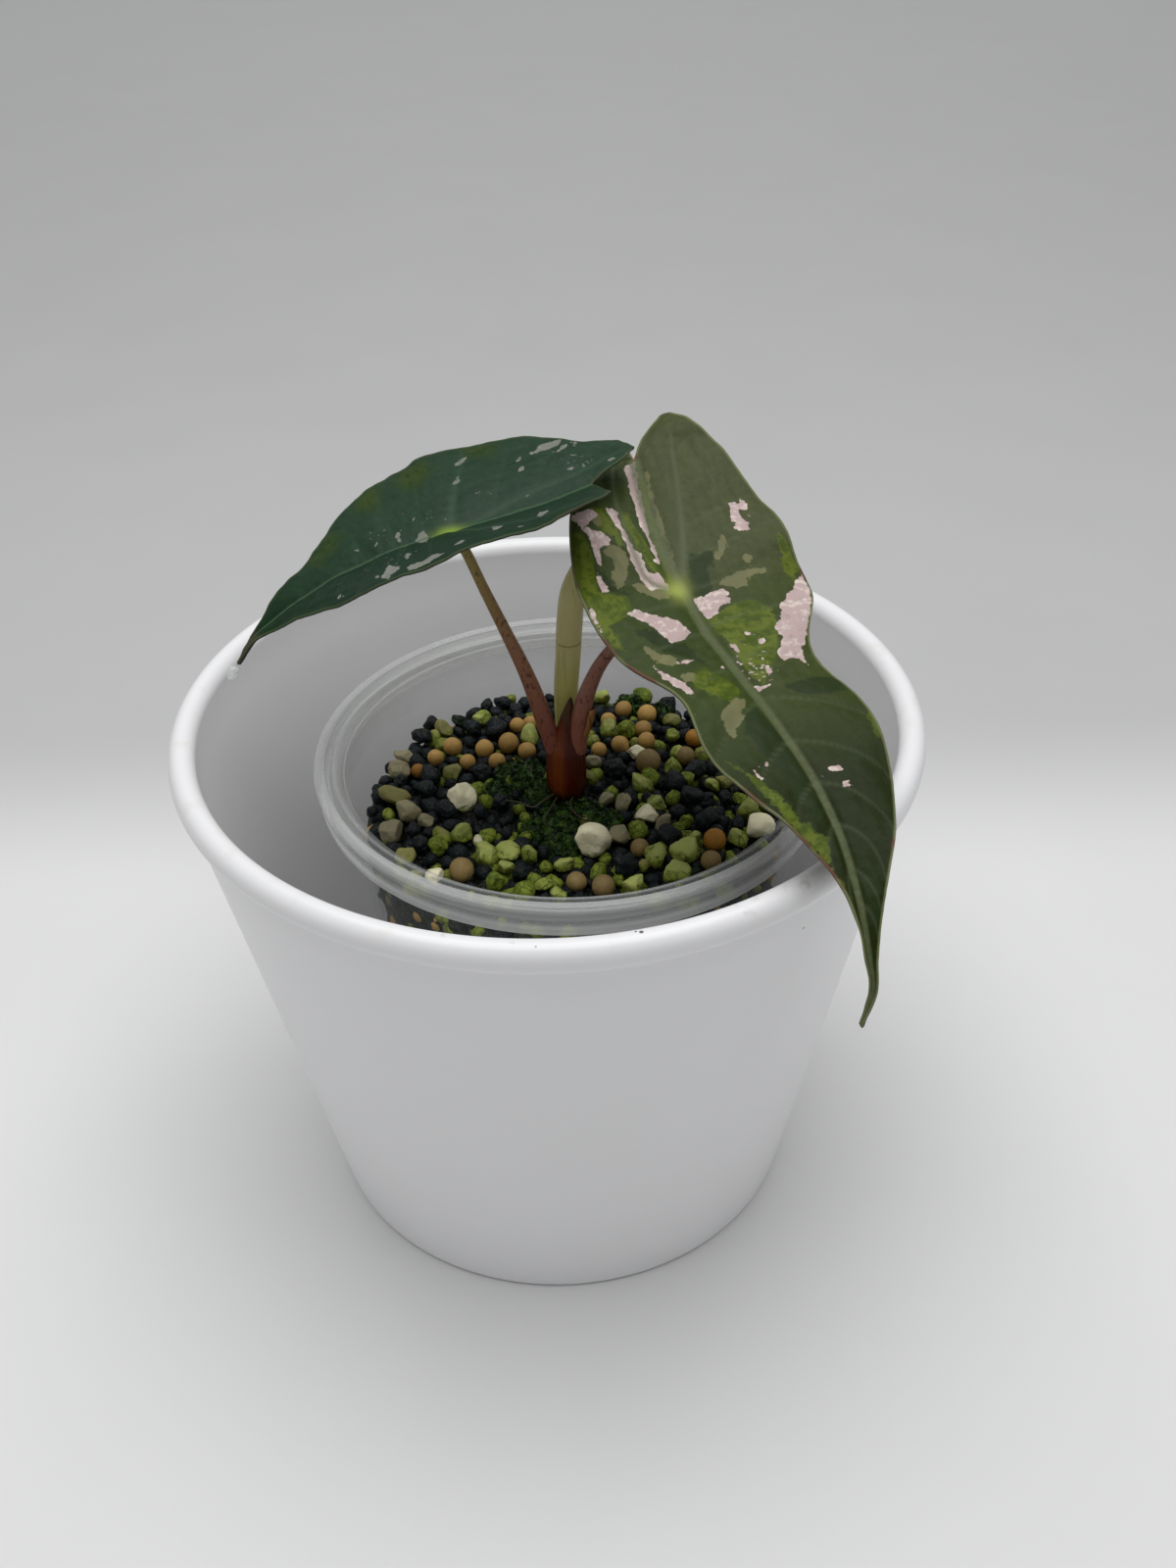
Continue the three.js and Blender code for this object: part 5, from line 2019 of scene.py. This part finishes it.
PINK_PATCHES = Patches(
    pale=(
        (14.1, 16.8, 16, 18.2, 16.3, 14.4, 16.9, 11, 17.4, 7.7, 17.9, 3.7, 18.7, 0.8, 19.5, -2.7, 18.6, -1.7,
         17.5, 2.2, 16.5, 5.5, 15.5, 9.4, 14.6, 13.1),
        (10.9, 7.9, 13.2, 8, 12.8, 6.6, 13.1, 4.5, 14.1, 3.5, 14.6, 1.5, 15.3, 0.1, 16.2, -0.9, 16.8, -2.7,
         17.5, -4.4, 18.8, -4.1, 19.6, -4.8, 20.5, -6.2, 20.7, -7.4, 19.1, -7.2, 17.5, -8.1, 16.2, -6.3, 15.2,
         -4, 14.4, -2, 14.1, 0.6, 13.5, 2.6, 12.6, 4.5, 11.7, 6.2),
        (6.4, 4.1, 8.2, 3.6, 9.6, 3.3, 10.6, 2.7, 11.5, 2, 11.2, 0.7, 9.9, 0.1, 9.7, -1.3, 9.8, -3.3, 9.5, -4.2,
         8.7, -1.9, 8.1, 1.3, 7.5, 2.8),
        (4.9, 6, 7.8, 7.6, 9.7, 6.8, 8.4, 5.5, 7.1, 4.1, 5.5, 4.6),
        (9, -5, 9.6, -5.4, 10, -7.1, 10.6, -8, 10.7, -9.7, 9.6, -9.8, 9.2, -7.8),
        (13.7, -13.5, 15.2, -12.5, 16.4, -12.9, 17.9, -13, 19.8, -13.3, 21.3, -13.4, 22.8, -14.7, 23.9, -15.5,
         23.2, -16.7, 23, -17.3, 20.8, -18.3, 19.3, -17.3, 17.8, -15.6, 16, -14.7, 14.8, -14.1),
        (24.4, -8.7, 26.3, -8.7, 27.6, -7.6, 29.3, -6.6, 30, -7.7, 29.8, -8.7, 30.7, -8.6, 30.2, -9.8, 29,
         -10.3, 28.2, -11.5, 26.7, -12.5, 25.7, -11.7, 25, -10.2),
        (42.2, -2.9, 42.4, -2.9, 43.2, -5.5, 43.4, -8.8, 43.2, -10.1, 42.4, -14.1, 41.6, -16.8, 40.9, -17.7,
         41.1, -19.1, 41.8, -21, 40.6, -19.9, 39.2, -19.9, 37.7, -20.7, 37.2, -19.3, 37.7, -17.7, 38, -17.1,
         37.8, -15.9, 37, -14.4, 37.8, -12.6, 38.3, -10.3, 39, -9, 40, -7, 41.3, -5.4),
        (31.4, 8.7, 32.3, 9.1, 32.9, 8.7, 33.3, 10.1, 33.9, 9.2, 34.1, 7.4, 32.9, 7.1, 33.2, 5.7, 34.1, 5.1,
         34.6, 3.2, 33.2, 3.4, 31.7, 3.3, 32.3, 4.8, 31.3, 4.8, 31.3, 6.4),
        (34.2, 6.3, 35, 6.3, 34.6, 5.5),
        (7.3, -12.6, 8.3, -13.5, 9, -15.5, 9.9, -17.7, 9.6, -18.2, 8.8, -16.4, 7.9, -15.2),
        (17.5, -23.4, 19.8, -25.2, 22.2, -26.7, 23.8, -28.8, 22.6, -28.8, 20.9, -27.5, 18.6, -25.6),
        (20.9, -22.3, 24.2, -21.1, 24, -21.7, 21.8, -22.8),
        (28, -21.6, 28.7, -22.1, 28.2, -22.6),
        (34.8, -21.9, 35.5, -21.7, 36, -23, 35.4, -24.1, 34.9, -23.2),
        (33, -25.1, 34.2, -25.5, 35.2, -25.2, 34.2, -26.2, 33.4, -26.2),
        (42.7, -40, 44.6, -39.7, 44.9, -40.6, 43.1, -40.6),
        (44.7, -42.4, 45.8, -42.4, 45.6, -43.2, 44.7, -43.3),
        (32.9, -39.1, 34.1, -39.7, 33.8, -40.6, 33.1, -40.6),
        (31, -41.1, 31.7, -41.2, 32.6, -42.7, 31.9, -42.4),
        (29.5, -17.8, 30.1, -17.1, 31, -18.2, 31.4, -19.3, 30.3, -19.1),
        (30.2, -20.2, 31.8, -21.1, 31.2, -21.5, 30.2, -20.7),
        (34.2, -16.8, 35, -16.3, 35.1, -17.2, 34.4, -17.6),
        (32.1, -15, 33.5, -15.7, 32.4, -15.7),
    ),
    khaki=(
        (28.3, -0.3, 28.9, 2.2, 29.9, 3.2, 30.5, 1.7, 30.7, 0.3, 30, -0.4, 29.6, -1.5, 28.5, -2.1),
        (27.5, -7, 29.4, -5.3, 31.3, -4.1, 33.8, -3.6, 36.5, -2.9, 36.6, -3.9, 34.5, -4.2, 33.2, -5.3, 33.5,
         -6.7, 31.4, -7.3, 30.4, -7.1, 29.3, -6.6),
        (32.6, -1.5, 34, -0.8, 34.4, -1.8, 33.1, -2.4),
        (26.9, -32.4, 28.8, -29.4, 31.1, -27.9, 31.6, -29.4, 30.6, -31, 30.3, -33.2, 29.4, -34.6, 29, -35.8,
         27.8, -34.8, 27.3, -33.6),
        (15.7, -18.7, 17, -19.5, 18.8, -20.9, 21.2, -21.5, 20.9, -22.5, 19.3, -22.8, 17.1, -21.7, 16.1, -20.3),
        (21.3, -25.1, 22.6, -23.8, 24.1, -24.8, 23.4, -26.4, 21.9, -26.1),
        (9.7, -0.3, 12.1, 0.8, 14, -0, 14.4, -3, 13.8, -6.2, 12.5, -9.3, 11.3, -6.4, 12, -3.3),
        (16.2, -6.3, 17.5, -8.3, 19.1, -7.4, 21, -7.8, 20.4, -9.5, 18.7, -9.9, 16.2, -9.1, 14.7, -7.3),
        (7.8, 7.6, 8.4, 5.5, 9.7, 4.4, 10.7, 5.7, 9.7, 6.8),
        (17.2, 16.1, 17.9, 12.5, 18.7, 8.5, 19.6, 3.7, 20.6, -0.1, 21.6, -4.7, 22.1, -4.7, 21.2, 0, 20.3, 3.7,
         19.4, 8.3, 18.6, 12.3, 17.9, 15.7),
    ),
    vivid=(
        (15.7, 16.4, 17.2, 15.7, 17.9, 12.3, 18.7, 8.1, 19.6, 3.3, 20.6, -0.5, 21.5, -4.8, 20.6, -5.8, 19.7,
         -2.3, 18.6, 2.4, 17.6, 7.9, 16.6, 12.5),
        (5.1, 2.6, 6.4, 3.5, 8.3, -0.3, 8.7, -4.4, 9.3, -9.8, 13.7, -9.9, 14.4, -13.2, 11.2, -16.5, 13.3, -20.5,
         11.1, -19.8, 8.6, -16.8, 6.8, -11.5, 5.2, -4),
        (13.3, 7.8, 14.6, 7.2, 15.8, 4.3, 17, 2.5, 18.4, -1.7, 19.6, -4.4, 17.7, -4.4, 16.6, -0.9, 15.3, 1,
         14.2, 4.1, 13.1, 5),
        (7.8, 8, 10.7, 8.1, 12.3, 5.9, 13.2, 2.9, 14, -0.4, 12.4, 0.2, 11.5, 2.2, 9.6, 3.4, 9.1, 5.6),
        (24.9, -10.7, 26.7, -12.7, 29.3, -10.3, 33.3, -9.3, 37.2, -10.7, 37.8, -14.4, 37.3, -18, 34.4, -25.4,
         32.3, -23.5, 29.6, -18.3, 27.2, -14.2),
        (38.4, 4.2, 40.5, 1, 42.1, -2.1, 41.2, -4.8, 39.3, -3.8, 38.9, 0.1),
        (22.3, -25, 25.7, -22.9, 31.3, -26.5, 28.8, -29.2, 26.5, -28.9, 23.9, -27.3),
        (27.3, -39.7, 31.4, -43.8, 35.2, -49.3, 39.2, -53.1, 42.6, -57.3, 43.4, -57.9, 41.9, -54.8, 41.5, -51.4,
         38.1, -49.6, 34.9, -45.3, 30.8, -42.1),
        (48.9, -27.2, 50.5, -30.8, 51.5, -34.9, 50.7, -34.6, 50, -31.8),
    ),
    dark=(
        (23.8, -0.1, 28.1, -0.5, 27.5, -4.3, 27.7, -7.4, 25.1, -8.6, 23.9, -6),
        (14.2, -17, 17.8, -15.8, 19.6, -17.7, 22.7, -17.8, 24.4, -20.2, 26.2, -22.4, 22.5, -21.3, 19.4, -20.5,
         16.5, -18.1),
        (31.2, -31.1, 32.8, -29.6, 36, -33.4, 38.5, -38.5, 40.8, -44.3, 41, -49.3, 38.3, -47.3, 35.9, -41.7,
         32.6, -37.7, 30.6, -34.4),
        (8.6, 13.2, 10.9, 14.7, 13.6, 16.5, 13.4, 14.5, 11.2, 13.5),
        (8.3, -4.3, 9.9, -4.8, 11.3, -6.9, 12.8, -8.8, 15, -9.3, 13.7, -9.9, 10.9, -9.4, 9.4, -7.8),
        (46.4, -37.1, 48.2, -37.1, 48.7, -38.8, 46.8, -38.9),
        (46.2, -54.6, 48.8, -54.8, 48.3, -61.3, 46.7, -62, 45.8, -58.9),
        (37.4, -25.4, 40.7, -23.3, 45.4, -22.5, 47.5, -24.7, 44.9, -26.5, 40.3, -27.6),
    ),
    flecks=((32.5, -19.9, 4.5, 0.75), (34.5, -23.6, 3.0, 0.6), (43.0, -42.0, 3.2, 0.7), (39.8, -40.1, 1.6, 0.4),
            (32.6, -41.0, 3.2, 0.65), (21.9, -30.3, 2.6, 0.6), (24.7, -34.3, 2.4, 0.5), (40.0, 3.6, 2.8, 0.5),
            (13.6, -12.4, 2.5, 0.35), (16.0, -24.8, 2.6, 0.5), (15.0, -1.0, 7.0, 0.25), (17.6, 4.0, 5.0, 0.3)))
DARK_PATCHES = Patches(
    pale=(
        (-1.7, 13.3, -0.4, 13.3, -0.1, 14.4, 1.6, 14.4, 4, 15, 3.2, 13, 1.6, 12.7, -0.1, 12.7, -1.4, 12.7),
        (2.7, 11.6, 3.8, 13.1, 5.1, 14, 4.6, 12.2, 3.5, 11.6),
        (5.3, 12.7, 5.8, 14.5, 6.6, 14.5, 5.9, 12.6),
        (-4, 11.6, -3.5, 12.9, -2.9, 12.9, -3.2, 11.4),
        (-3.8, 9.5, -3.2, 10.4, -2.4, 10.6, -2.3, 9.3, -3.3, 8.9),
        (-14.4, 13.4, -13.6, 15.4, -12.3, 16, -13.1, 14.1),
        (-14.2, 8.8, -13.8, 10.9, -13.2, 11.7, -13.3, 10, -13.7, 8.9),
        (6.7, 7.5, 7.5, 8.7, 9, 10.2, 8, 8.5, 7.1, 7.1),
        (4.6, 7.2, 5.7, 7.7, 6.4, 8, 5.5, 7.1),
        (10.9, 9.6, 11.7, 10.8, 12.5, 10.5, 11.3, 9.6),
        (13.7, 10.6, 14.8, 12.5, 14.2, 11.4),
        (-20.2, -1.3, -19.9, -0.2, -18.9, -0.1, -18.1, -1.2, -18, -4.3, -19.1, -4.1),
        (-27.2, -0.9, -26.9, 0.2, -26.5, 1, -26.2, 0.2, -26.7, -0.7),
        (-26, 2.1, -25.7, 3.1, -25.2, 2.7, -25.5, 1.9),
        (-23.6, 0.5, -23.2, 1.4, -22.7, 0.2, -22.3, -1.3, -22.8, -0.8),
        (-21.4, 1.8, -21, 2.3, -20.5, 3.8, -20.2, 3.9, -20.6, 2.4),
        (-30.2, 0.1, -29.7, 0.5, -29.7, -0.3),
        (-34.3, -0.6, -33.7, -0.4, -33.3, -1.1),
        (-24.2, -16, -23.8, -14.7, -23.7, -11.4, -22.6, -13, -21.7, -14.1, -22.1, -15.5, -22.9, -16, -22.9,
         -18),
        (-25.4, -14.5, -25.2, -14, -24.7, -15.4),
        (-32, -12.1, -31.5, -11.9, -31, -13.1),
        (-20.4, -15.4, -18.1, -14.3, -15.9, -13.3, -14.3, -14.1, -15.3, -15, -17.7, -16, -19.8, -16.7),
        (-13.3, -11.9, -12.2, -10.4, -11.2, -10.7, -12.4, -12.3),
        (-0.3, -6.1, 0.3, -4.7, 1.6, -5.2, 0.8, -6.4, 0.2, -7.3),
        (-3.6, -9.5, -2.7, -8.6, -2.1, -9.6, -3, -10.1),
        (-7.9, -6.6, -6.8, -7, -5.5, -8, -6.7, -8.7),
        (-21.3, -9.6, -20.9, -7.5, -20.1, -9.4, -20.6, -12.1),
        (-2.5, 2.9, -2, 3.8, -1.5, 3.9, -2.2, 2.8),
    ),
    vivid=(
        (-30.9, 12.1, -29.9, 13.1, -27.7, 14.3, -27, 9.6, -27.9, 8, -30.6, 9),
        (-23.4, 16.2, -20, 16.1, -18.2, 14, -20, 10.5, -22.2, 10.6, -24.1, 13.4),
        (-13.1, 18.8, -9.8, 18.5, -7.4, 17.1, -8.3, 15.3, -11.7, 16.1),
        (-36.9, 5.6, -35.4, 6.3, -33.5, 4.4, -34.2, 1.9, -36.3, 2.4),
        (-37.4, 4.8, -36, 3.6, -35.7, 0.2, -38.3, 2.2),
    ),
    flecks=((-17.6, 2.5, 4.5, 0.45), (-8.1, 6.1, 4.0, 0.4), (1.6, 12.4, 5.0, 0.55), (-23.4, -9.4, 5.5, 0.6),
            (-31.7, -8.4, 4.0, 0.45), (7.9, 9.5, 4.0, 0.45), (-11.2, -7.5, 6.0, 0.45), (-26.0, 1.0, 5.0, 0.5)))


def left_leaf() -> Leaf:
    """The dark leaf that hangs over the pot's left side.

    Returns:
        Its blade.
    """
    near = Half(
        1, (10.6, 11.8, 14, 16, 16.8, 16.2, 12.6, 7.6, 3.9, 1.6, 0.9, 0.7, 0.5),
        (20, 20, 20, 20, 19, 17, 13, 7, 0, -4, 0, 0, 0), (((11, -1.2, 141), (11.5, -2.8, 141.4)),),
        (((2.95, 0), (2.79, 0.2), (2.4, 0.42), (1.8, 0.6), (1.0, 0.72), (0.2, 0.8)),),
        (((2.4, 0.42), (2.3, 0.62), (2.0, 0.92)), ((1.8, 0.6), (1.6, 0.75), (1.3, 0.95)),
         *laterals((3.5, 0.1), (4.3, 0.4), (5.1, 0.6), (5.9, 0.8), (6.7, 0.9))))
    far = Half(
        -1, (12.9, 17.4, 20.4, 20.8, 20.1, 17.8, 13.2, 8, 5.2, 1.9, 0.9, 0.7, 0.5),
        (20, 20, 20, 20, 20, 20, 20, 20, 18, 14, 8, 4, 0),
        (((10.9, 7, 140.4), (11.7, 17, 141.4)), ((13.6, 10.4, 140.8), (14.2, 15.9, 141.4)),
         ((15.4, 13.4, 141), (15.8, 14.4, 141.1))),
        (((2.9, 0), (2.39, 0.04), (1.66, 0.13), (0.79, 0.2), (0.03, 0.27), (-1.0, 0.4), (-2.0, 0.5)),
         ((3.02, 0), (2.78, 0.32), (2.62, 0.54), (2.48, 0.73), (2.4, 0.95))),
        (((2.1, 0.08), (1.9, 0.35), (1.6, 0.65), (1.4, 0.95)),
         ((1.2, 0.17), (0.9, 0.45), (0.5, 0.75), (0.3, 0.95)),
         ((0.3, 0.25), (-0.1, 0.55), (-0.6, 0.9)),
         *laterals((3.7, 0.0), (4.6, 0.3), (5.5, 0.6), (6.4, 0.8), (7.2, 0.9))))
    return Leaf(
        "dark_leaf", "leaf_left", "dark_leaf",
        ((8.5, 3, 139.8), (1.5, 1.6, 137.8), (-6.2, 0.3, 136), (-14.4, -1, 134.2), (-20, -1.7, 132.7),
         (-25.6, -2.4, 131), (-31.3, -3.2, 128.7), (-37.1, -4.1, 125.6), (-42.2, -5, 122.5),
         (-46.2, -5.9, 119.6), (-48.4, -6.4, 117.4), (-49.8, -6.8, 115.6), (-50.9, -7.1, 114)),
        (near, far), 0.12, (0.35, 5), (-14.6, -1.1), DARK_PATCHES, DARK_BLADE, (0.75, 1.8), quilting=0.08)


def right_leaf() -> Leaf:
    """The pink and green leaf that hangs over the pot's front right.

    Returns:
        Its blade.
    """
    far = Half(
        1, (14.4, 18.4, 21, 20.6, 19.9, 13.4, 14.6, 12.8, 9.4, 5.2, 2.8, 1.3, 0.8, 0.5),
        (14, 14, 14, 14, 13, 12, 12, 12, 12, 12, 10, 6, 3, 0),
        (((17.3, 22.5, 139.3), (25.8, 23.4, 141.6)), ((20.4, 26.9, 141.1), (22.3, 27.1, 141.6))),
        (((2.96, 0), (2.56, 0.09), (2.16, 0.17), (1.53, 0.26), (1.1, 0.32), (0.47, 0.4), (-0.67, 0.54)),
         ((2.71, 0.01), (2.15, 0.04), (1.71, 0.06), (1.17, 0.07), (0.74, 0.08), (0.34, 0.07))),
        (((1.15, 0.31), (1.03, 0.39), (0.76, 0.56), (0.4, 0.9)), ((2.4, 0.12), (2.3, 0.5), (2.1, 0.95)),
         ((1.7, 0.24), (1.5, 0.55), (1.25, 0.95)), ((0.2, 0.43), (-0.2, 0.65), (-0.6, 0.92)),
         ((3.0, 0), (3.07, 0.25), (3.07, 0.52), (2.83, 0.91)),
         *laterals((3.9, 0.2), (4.65, 0.5), (5.45, 0.98), (6.3, 1.1), (7.1, 1.2), (7.9, 1.3), (8.7, 1.3),
                   (9.5, 1.2))))
    near = Half(
        -1, (7.7, 12.6, 15.2, 17.2, 15.6, 11.8, 13, 11, 6.2, 2.4, 1.1, 0.8, 0.7, 0.5),
        (6, 6, 6, 6, 6, 6, 6, 6, 6, 6, 6, 4, 2, 0),
        (((14.9, 20.5, 138.1), (10.4, 19.6, 138)), ((13.8, 21.6, 138.9), (12.9, 21.4, 138.9))),
        (((2.97, 0), (2.83, 0.19), (2.56, 0.28), (2.14, 0.29), (1.6, 0.31), (0.9, 0.38), (0.0, 0.48),
          (-0.8, 0.5)),),
        (((2.65, 0.25), (2.6, 0.6), (2.4, 0.95)), ((1.9, 0.3), (1.5, 0.6), (1.2, 0.95)),
         ((0.9, 0.38), (0.5, 0.65), (0.2, 0.95)),
         *laterals((3.3, -0.1), (4.0, 0.15), (4.75, 0.4), (5.5, 0.7), (6.3, 0.9), (7.1, 1.0), (7.9, 1.1),
                   (8.7, 1.1))))
    return Leaf(
        "pink_leaf", "leaf_right", "pink_leaf",
        ((15.8, 18.6, 137), (17.2, 9.8, 132.8), (19.4, 0.9, 129), (22.8, -7, 125.6), (26, -15, 122.4),
         (31, -23.5, 119.3), (36, -32.4, 116), (40.3, -41.3, 112.6), (43.2, -49.7, 109.2), (45, -57, 105),
         (46, -61.6, 101.2), (46.7, -64.9, 96.7), (47, -66.6, 92.4), (45.4, -67, 86)),
        (far, near), 0.1, (0.6, 6), (21.9, -7.0), PINK_PATCHES, PINK_BLADE)


@dataclass
class WaterDrop:
    """The long clear drop that hangs from the left leaf's tip."""

    foot: Point = (-51.9, -7.3, 110.9)
    top: Point = (-51.3, -7.2, 113.2)
    radius: float = 0.95

    def build(self) -> list[bpy.types.Object]:
        """Turns the drop and slants it.

        Returns:
            The finished piece.
        """
        height = self.top[2] - self.foot[2]
        knots = [(self.radius * 0.94, 1.34), (self.radius * 0.97, 1.9), (self.radius * 0.8, 0.6 * height),
                 (self.radius * 0.55, 0.85 * height), (self.radius * 0.22, 0.985 * height)]
        side = smooth_curve(knots, np.linspace(0, 1, 16))
        bulge = arc((0, 1), (self.radius, 1), -80, 15, 12)
        shell = turned([(0, 0), *bulge, *map(tuple, side), (0, height)], 40)
        slant = np.array(self.top) - self.foot
        share = shell.points[:, 2:] / height
        shell.points[:, :2] += slant[:2] * share
        shell.points += self.foot
        return [dressed(shell.piece("water", WaterSkin()), "water", "water_drop")]


@dataclass
class Studio:
    """Pale floor with painted shade and light on it, one broad overhead light, grey surroundings and the
    camera.
    """

    eye: Point = (6.8, -248.1, 259.4)
    tilt: float = 35.46
    roll: float = 1.3
    lens: float = 39.04
    floor_tone: float = 0.8
    floor_reach: float = 6000.0
    # Spans of y over which the floor takes painted shade, then painted light.
    painted_shade_span: Flat = (70.0, 150.0)
    raised: Flat = (350.0, 1400.0)
    sky: float = 0.31
    lamp_power: float = 6.3
    lamp_size: float = 800.0
    lamp_place: Point = (0.0, 20.0, 900.0)

    def floor(self) -> None:
        """Lays the floor, with painted shade behind the pot and painted light again far off."""
        corners = np.array([(-1, -1, 0), (1, -1, 0), (1, 1, 0), (-1, 1, 0)]) * self.floor_reach
        plane = Shell(corners, [(0, 1, 2, 3)]).piece("floor")
        paint = bpy.data.materials.new("floor_paper")
        paint.use_nodes = True
        bench = ShaderBench(paint.node_tree)
        grain = bench.noise(bench.place(), 0.02, 3) * 0.04 + 1.0
        depth = bench.part(bench.place(), "Y")
        # Painted shade darkens the floor behind the pot and painted light brightens it far off.
        gain = grain - depth.step(*self.painted_shade_span) * 0.3 + depth.step(*self.raised) * 0.48
        tone = bench.shade((self.floor_tone,) * 3, gain)
        sheet = bench.surface({"Base Color": tone, "Roughness": 0.9})
        paint.node_tree.links.new(sheet, paint.node_tree.nodes["Material Output"].inputs[0])
        plane.data.materials.append(paint)

    def light(self) -> None:
        """Hangs the lamp and sets the surroundings."""
        lamp = bpy.data.lights.new("softbox", "AREA")
        lamp.energy, lamp.size = self.lamp_power, self.lamp_size * MM
        hung = bpy.data.objects.new("softbox", lamp)
        hung.location = Vector(self.lamp_place) * MM
        hung.visible_camera = False
        bpy.context.scene.collection.objects.link(hung)
        world = bpy.data.worlds.new("surroundings")
        world.use_nodes = True
        bench = Bench(world.node_tree)
        sky = bench.node("ShaderNodeBackground", values={"Color": (0.99, 1.0, 1.0), "Strength": self.sky})
        bench.tree.links.new(sky.outputs[0], bench.tree.nodes["World Output"].inputs[0])
        bpy.context.scene.world = world

    def camera(self) -> None:
        """Stands the camera at the photograph's eye."""
        tilt, roll = math.radians(self.tilt), math.radians(self.roll)
        ahead = Vector((0, math.cos(tilt), -math.sin(tilt)))
        down = Vector((0, -math.sin(tilt), -math.cos(tilt)))
        right = Vector((1, 0, 0)) * math.cos(roll) + down * math.sin(roll)
        upright = -(down * math.cos(roll) - Vector((1, 0, 0)) * math.sin(roll))
        lens = bpy.data.cameras.new("eye")
        lens.sensor_fit, lens.sensor_height, lens.sensor_width, lens.lens = "VERTICAL", 36, 36, self.lens
        lens.clip_start, lens.clip_end = 0.01, 50
        eye = bpy.data.objects.new("eye", lens)
        turn = Matrix((right, upright, -ahead)).transposed().to_4x4()
        eye.matrix_world = Matrix.Translation(Vector(self.eye) * MM) @ turn
        bpy.context.scene.collection.objects.link(eye)
        bpy.context.scene.camera = eye

    def build(self) -> None:
        """Sets the whole studio."""
        self.floor()
        self.light()
        self.camera()
        bpy.context.scene.view_settings.view_transform = "Standard"


def main() -> None:
    """Builds every piece in order."""
    logging.basicConfig(level=logging.INFO, format="%(message)s")
    Studio().build()
    cup = NurseryCup()
    for part in (CoverPot(), cup, GritBed(cup), Moss(), BulbSheath(), Stems(), left_leaf(), right_leaf(),
                 WaterDrop()):
        for piece in part.build():
            log.info("%s: %d faces", piece.name, len(piece.data.polygons))


if __name__ == "__main__":
    main()
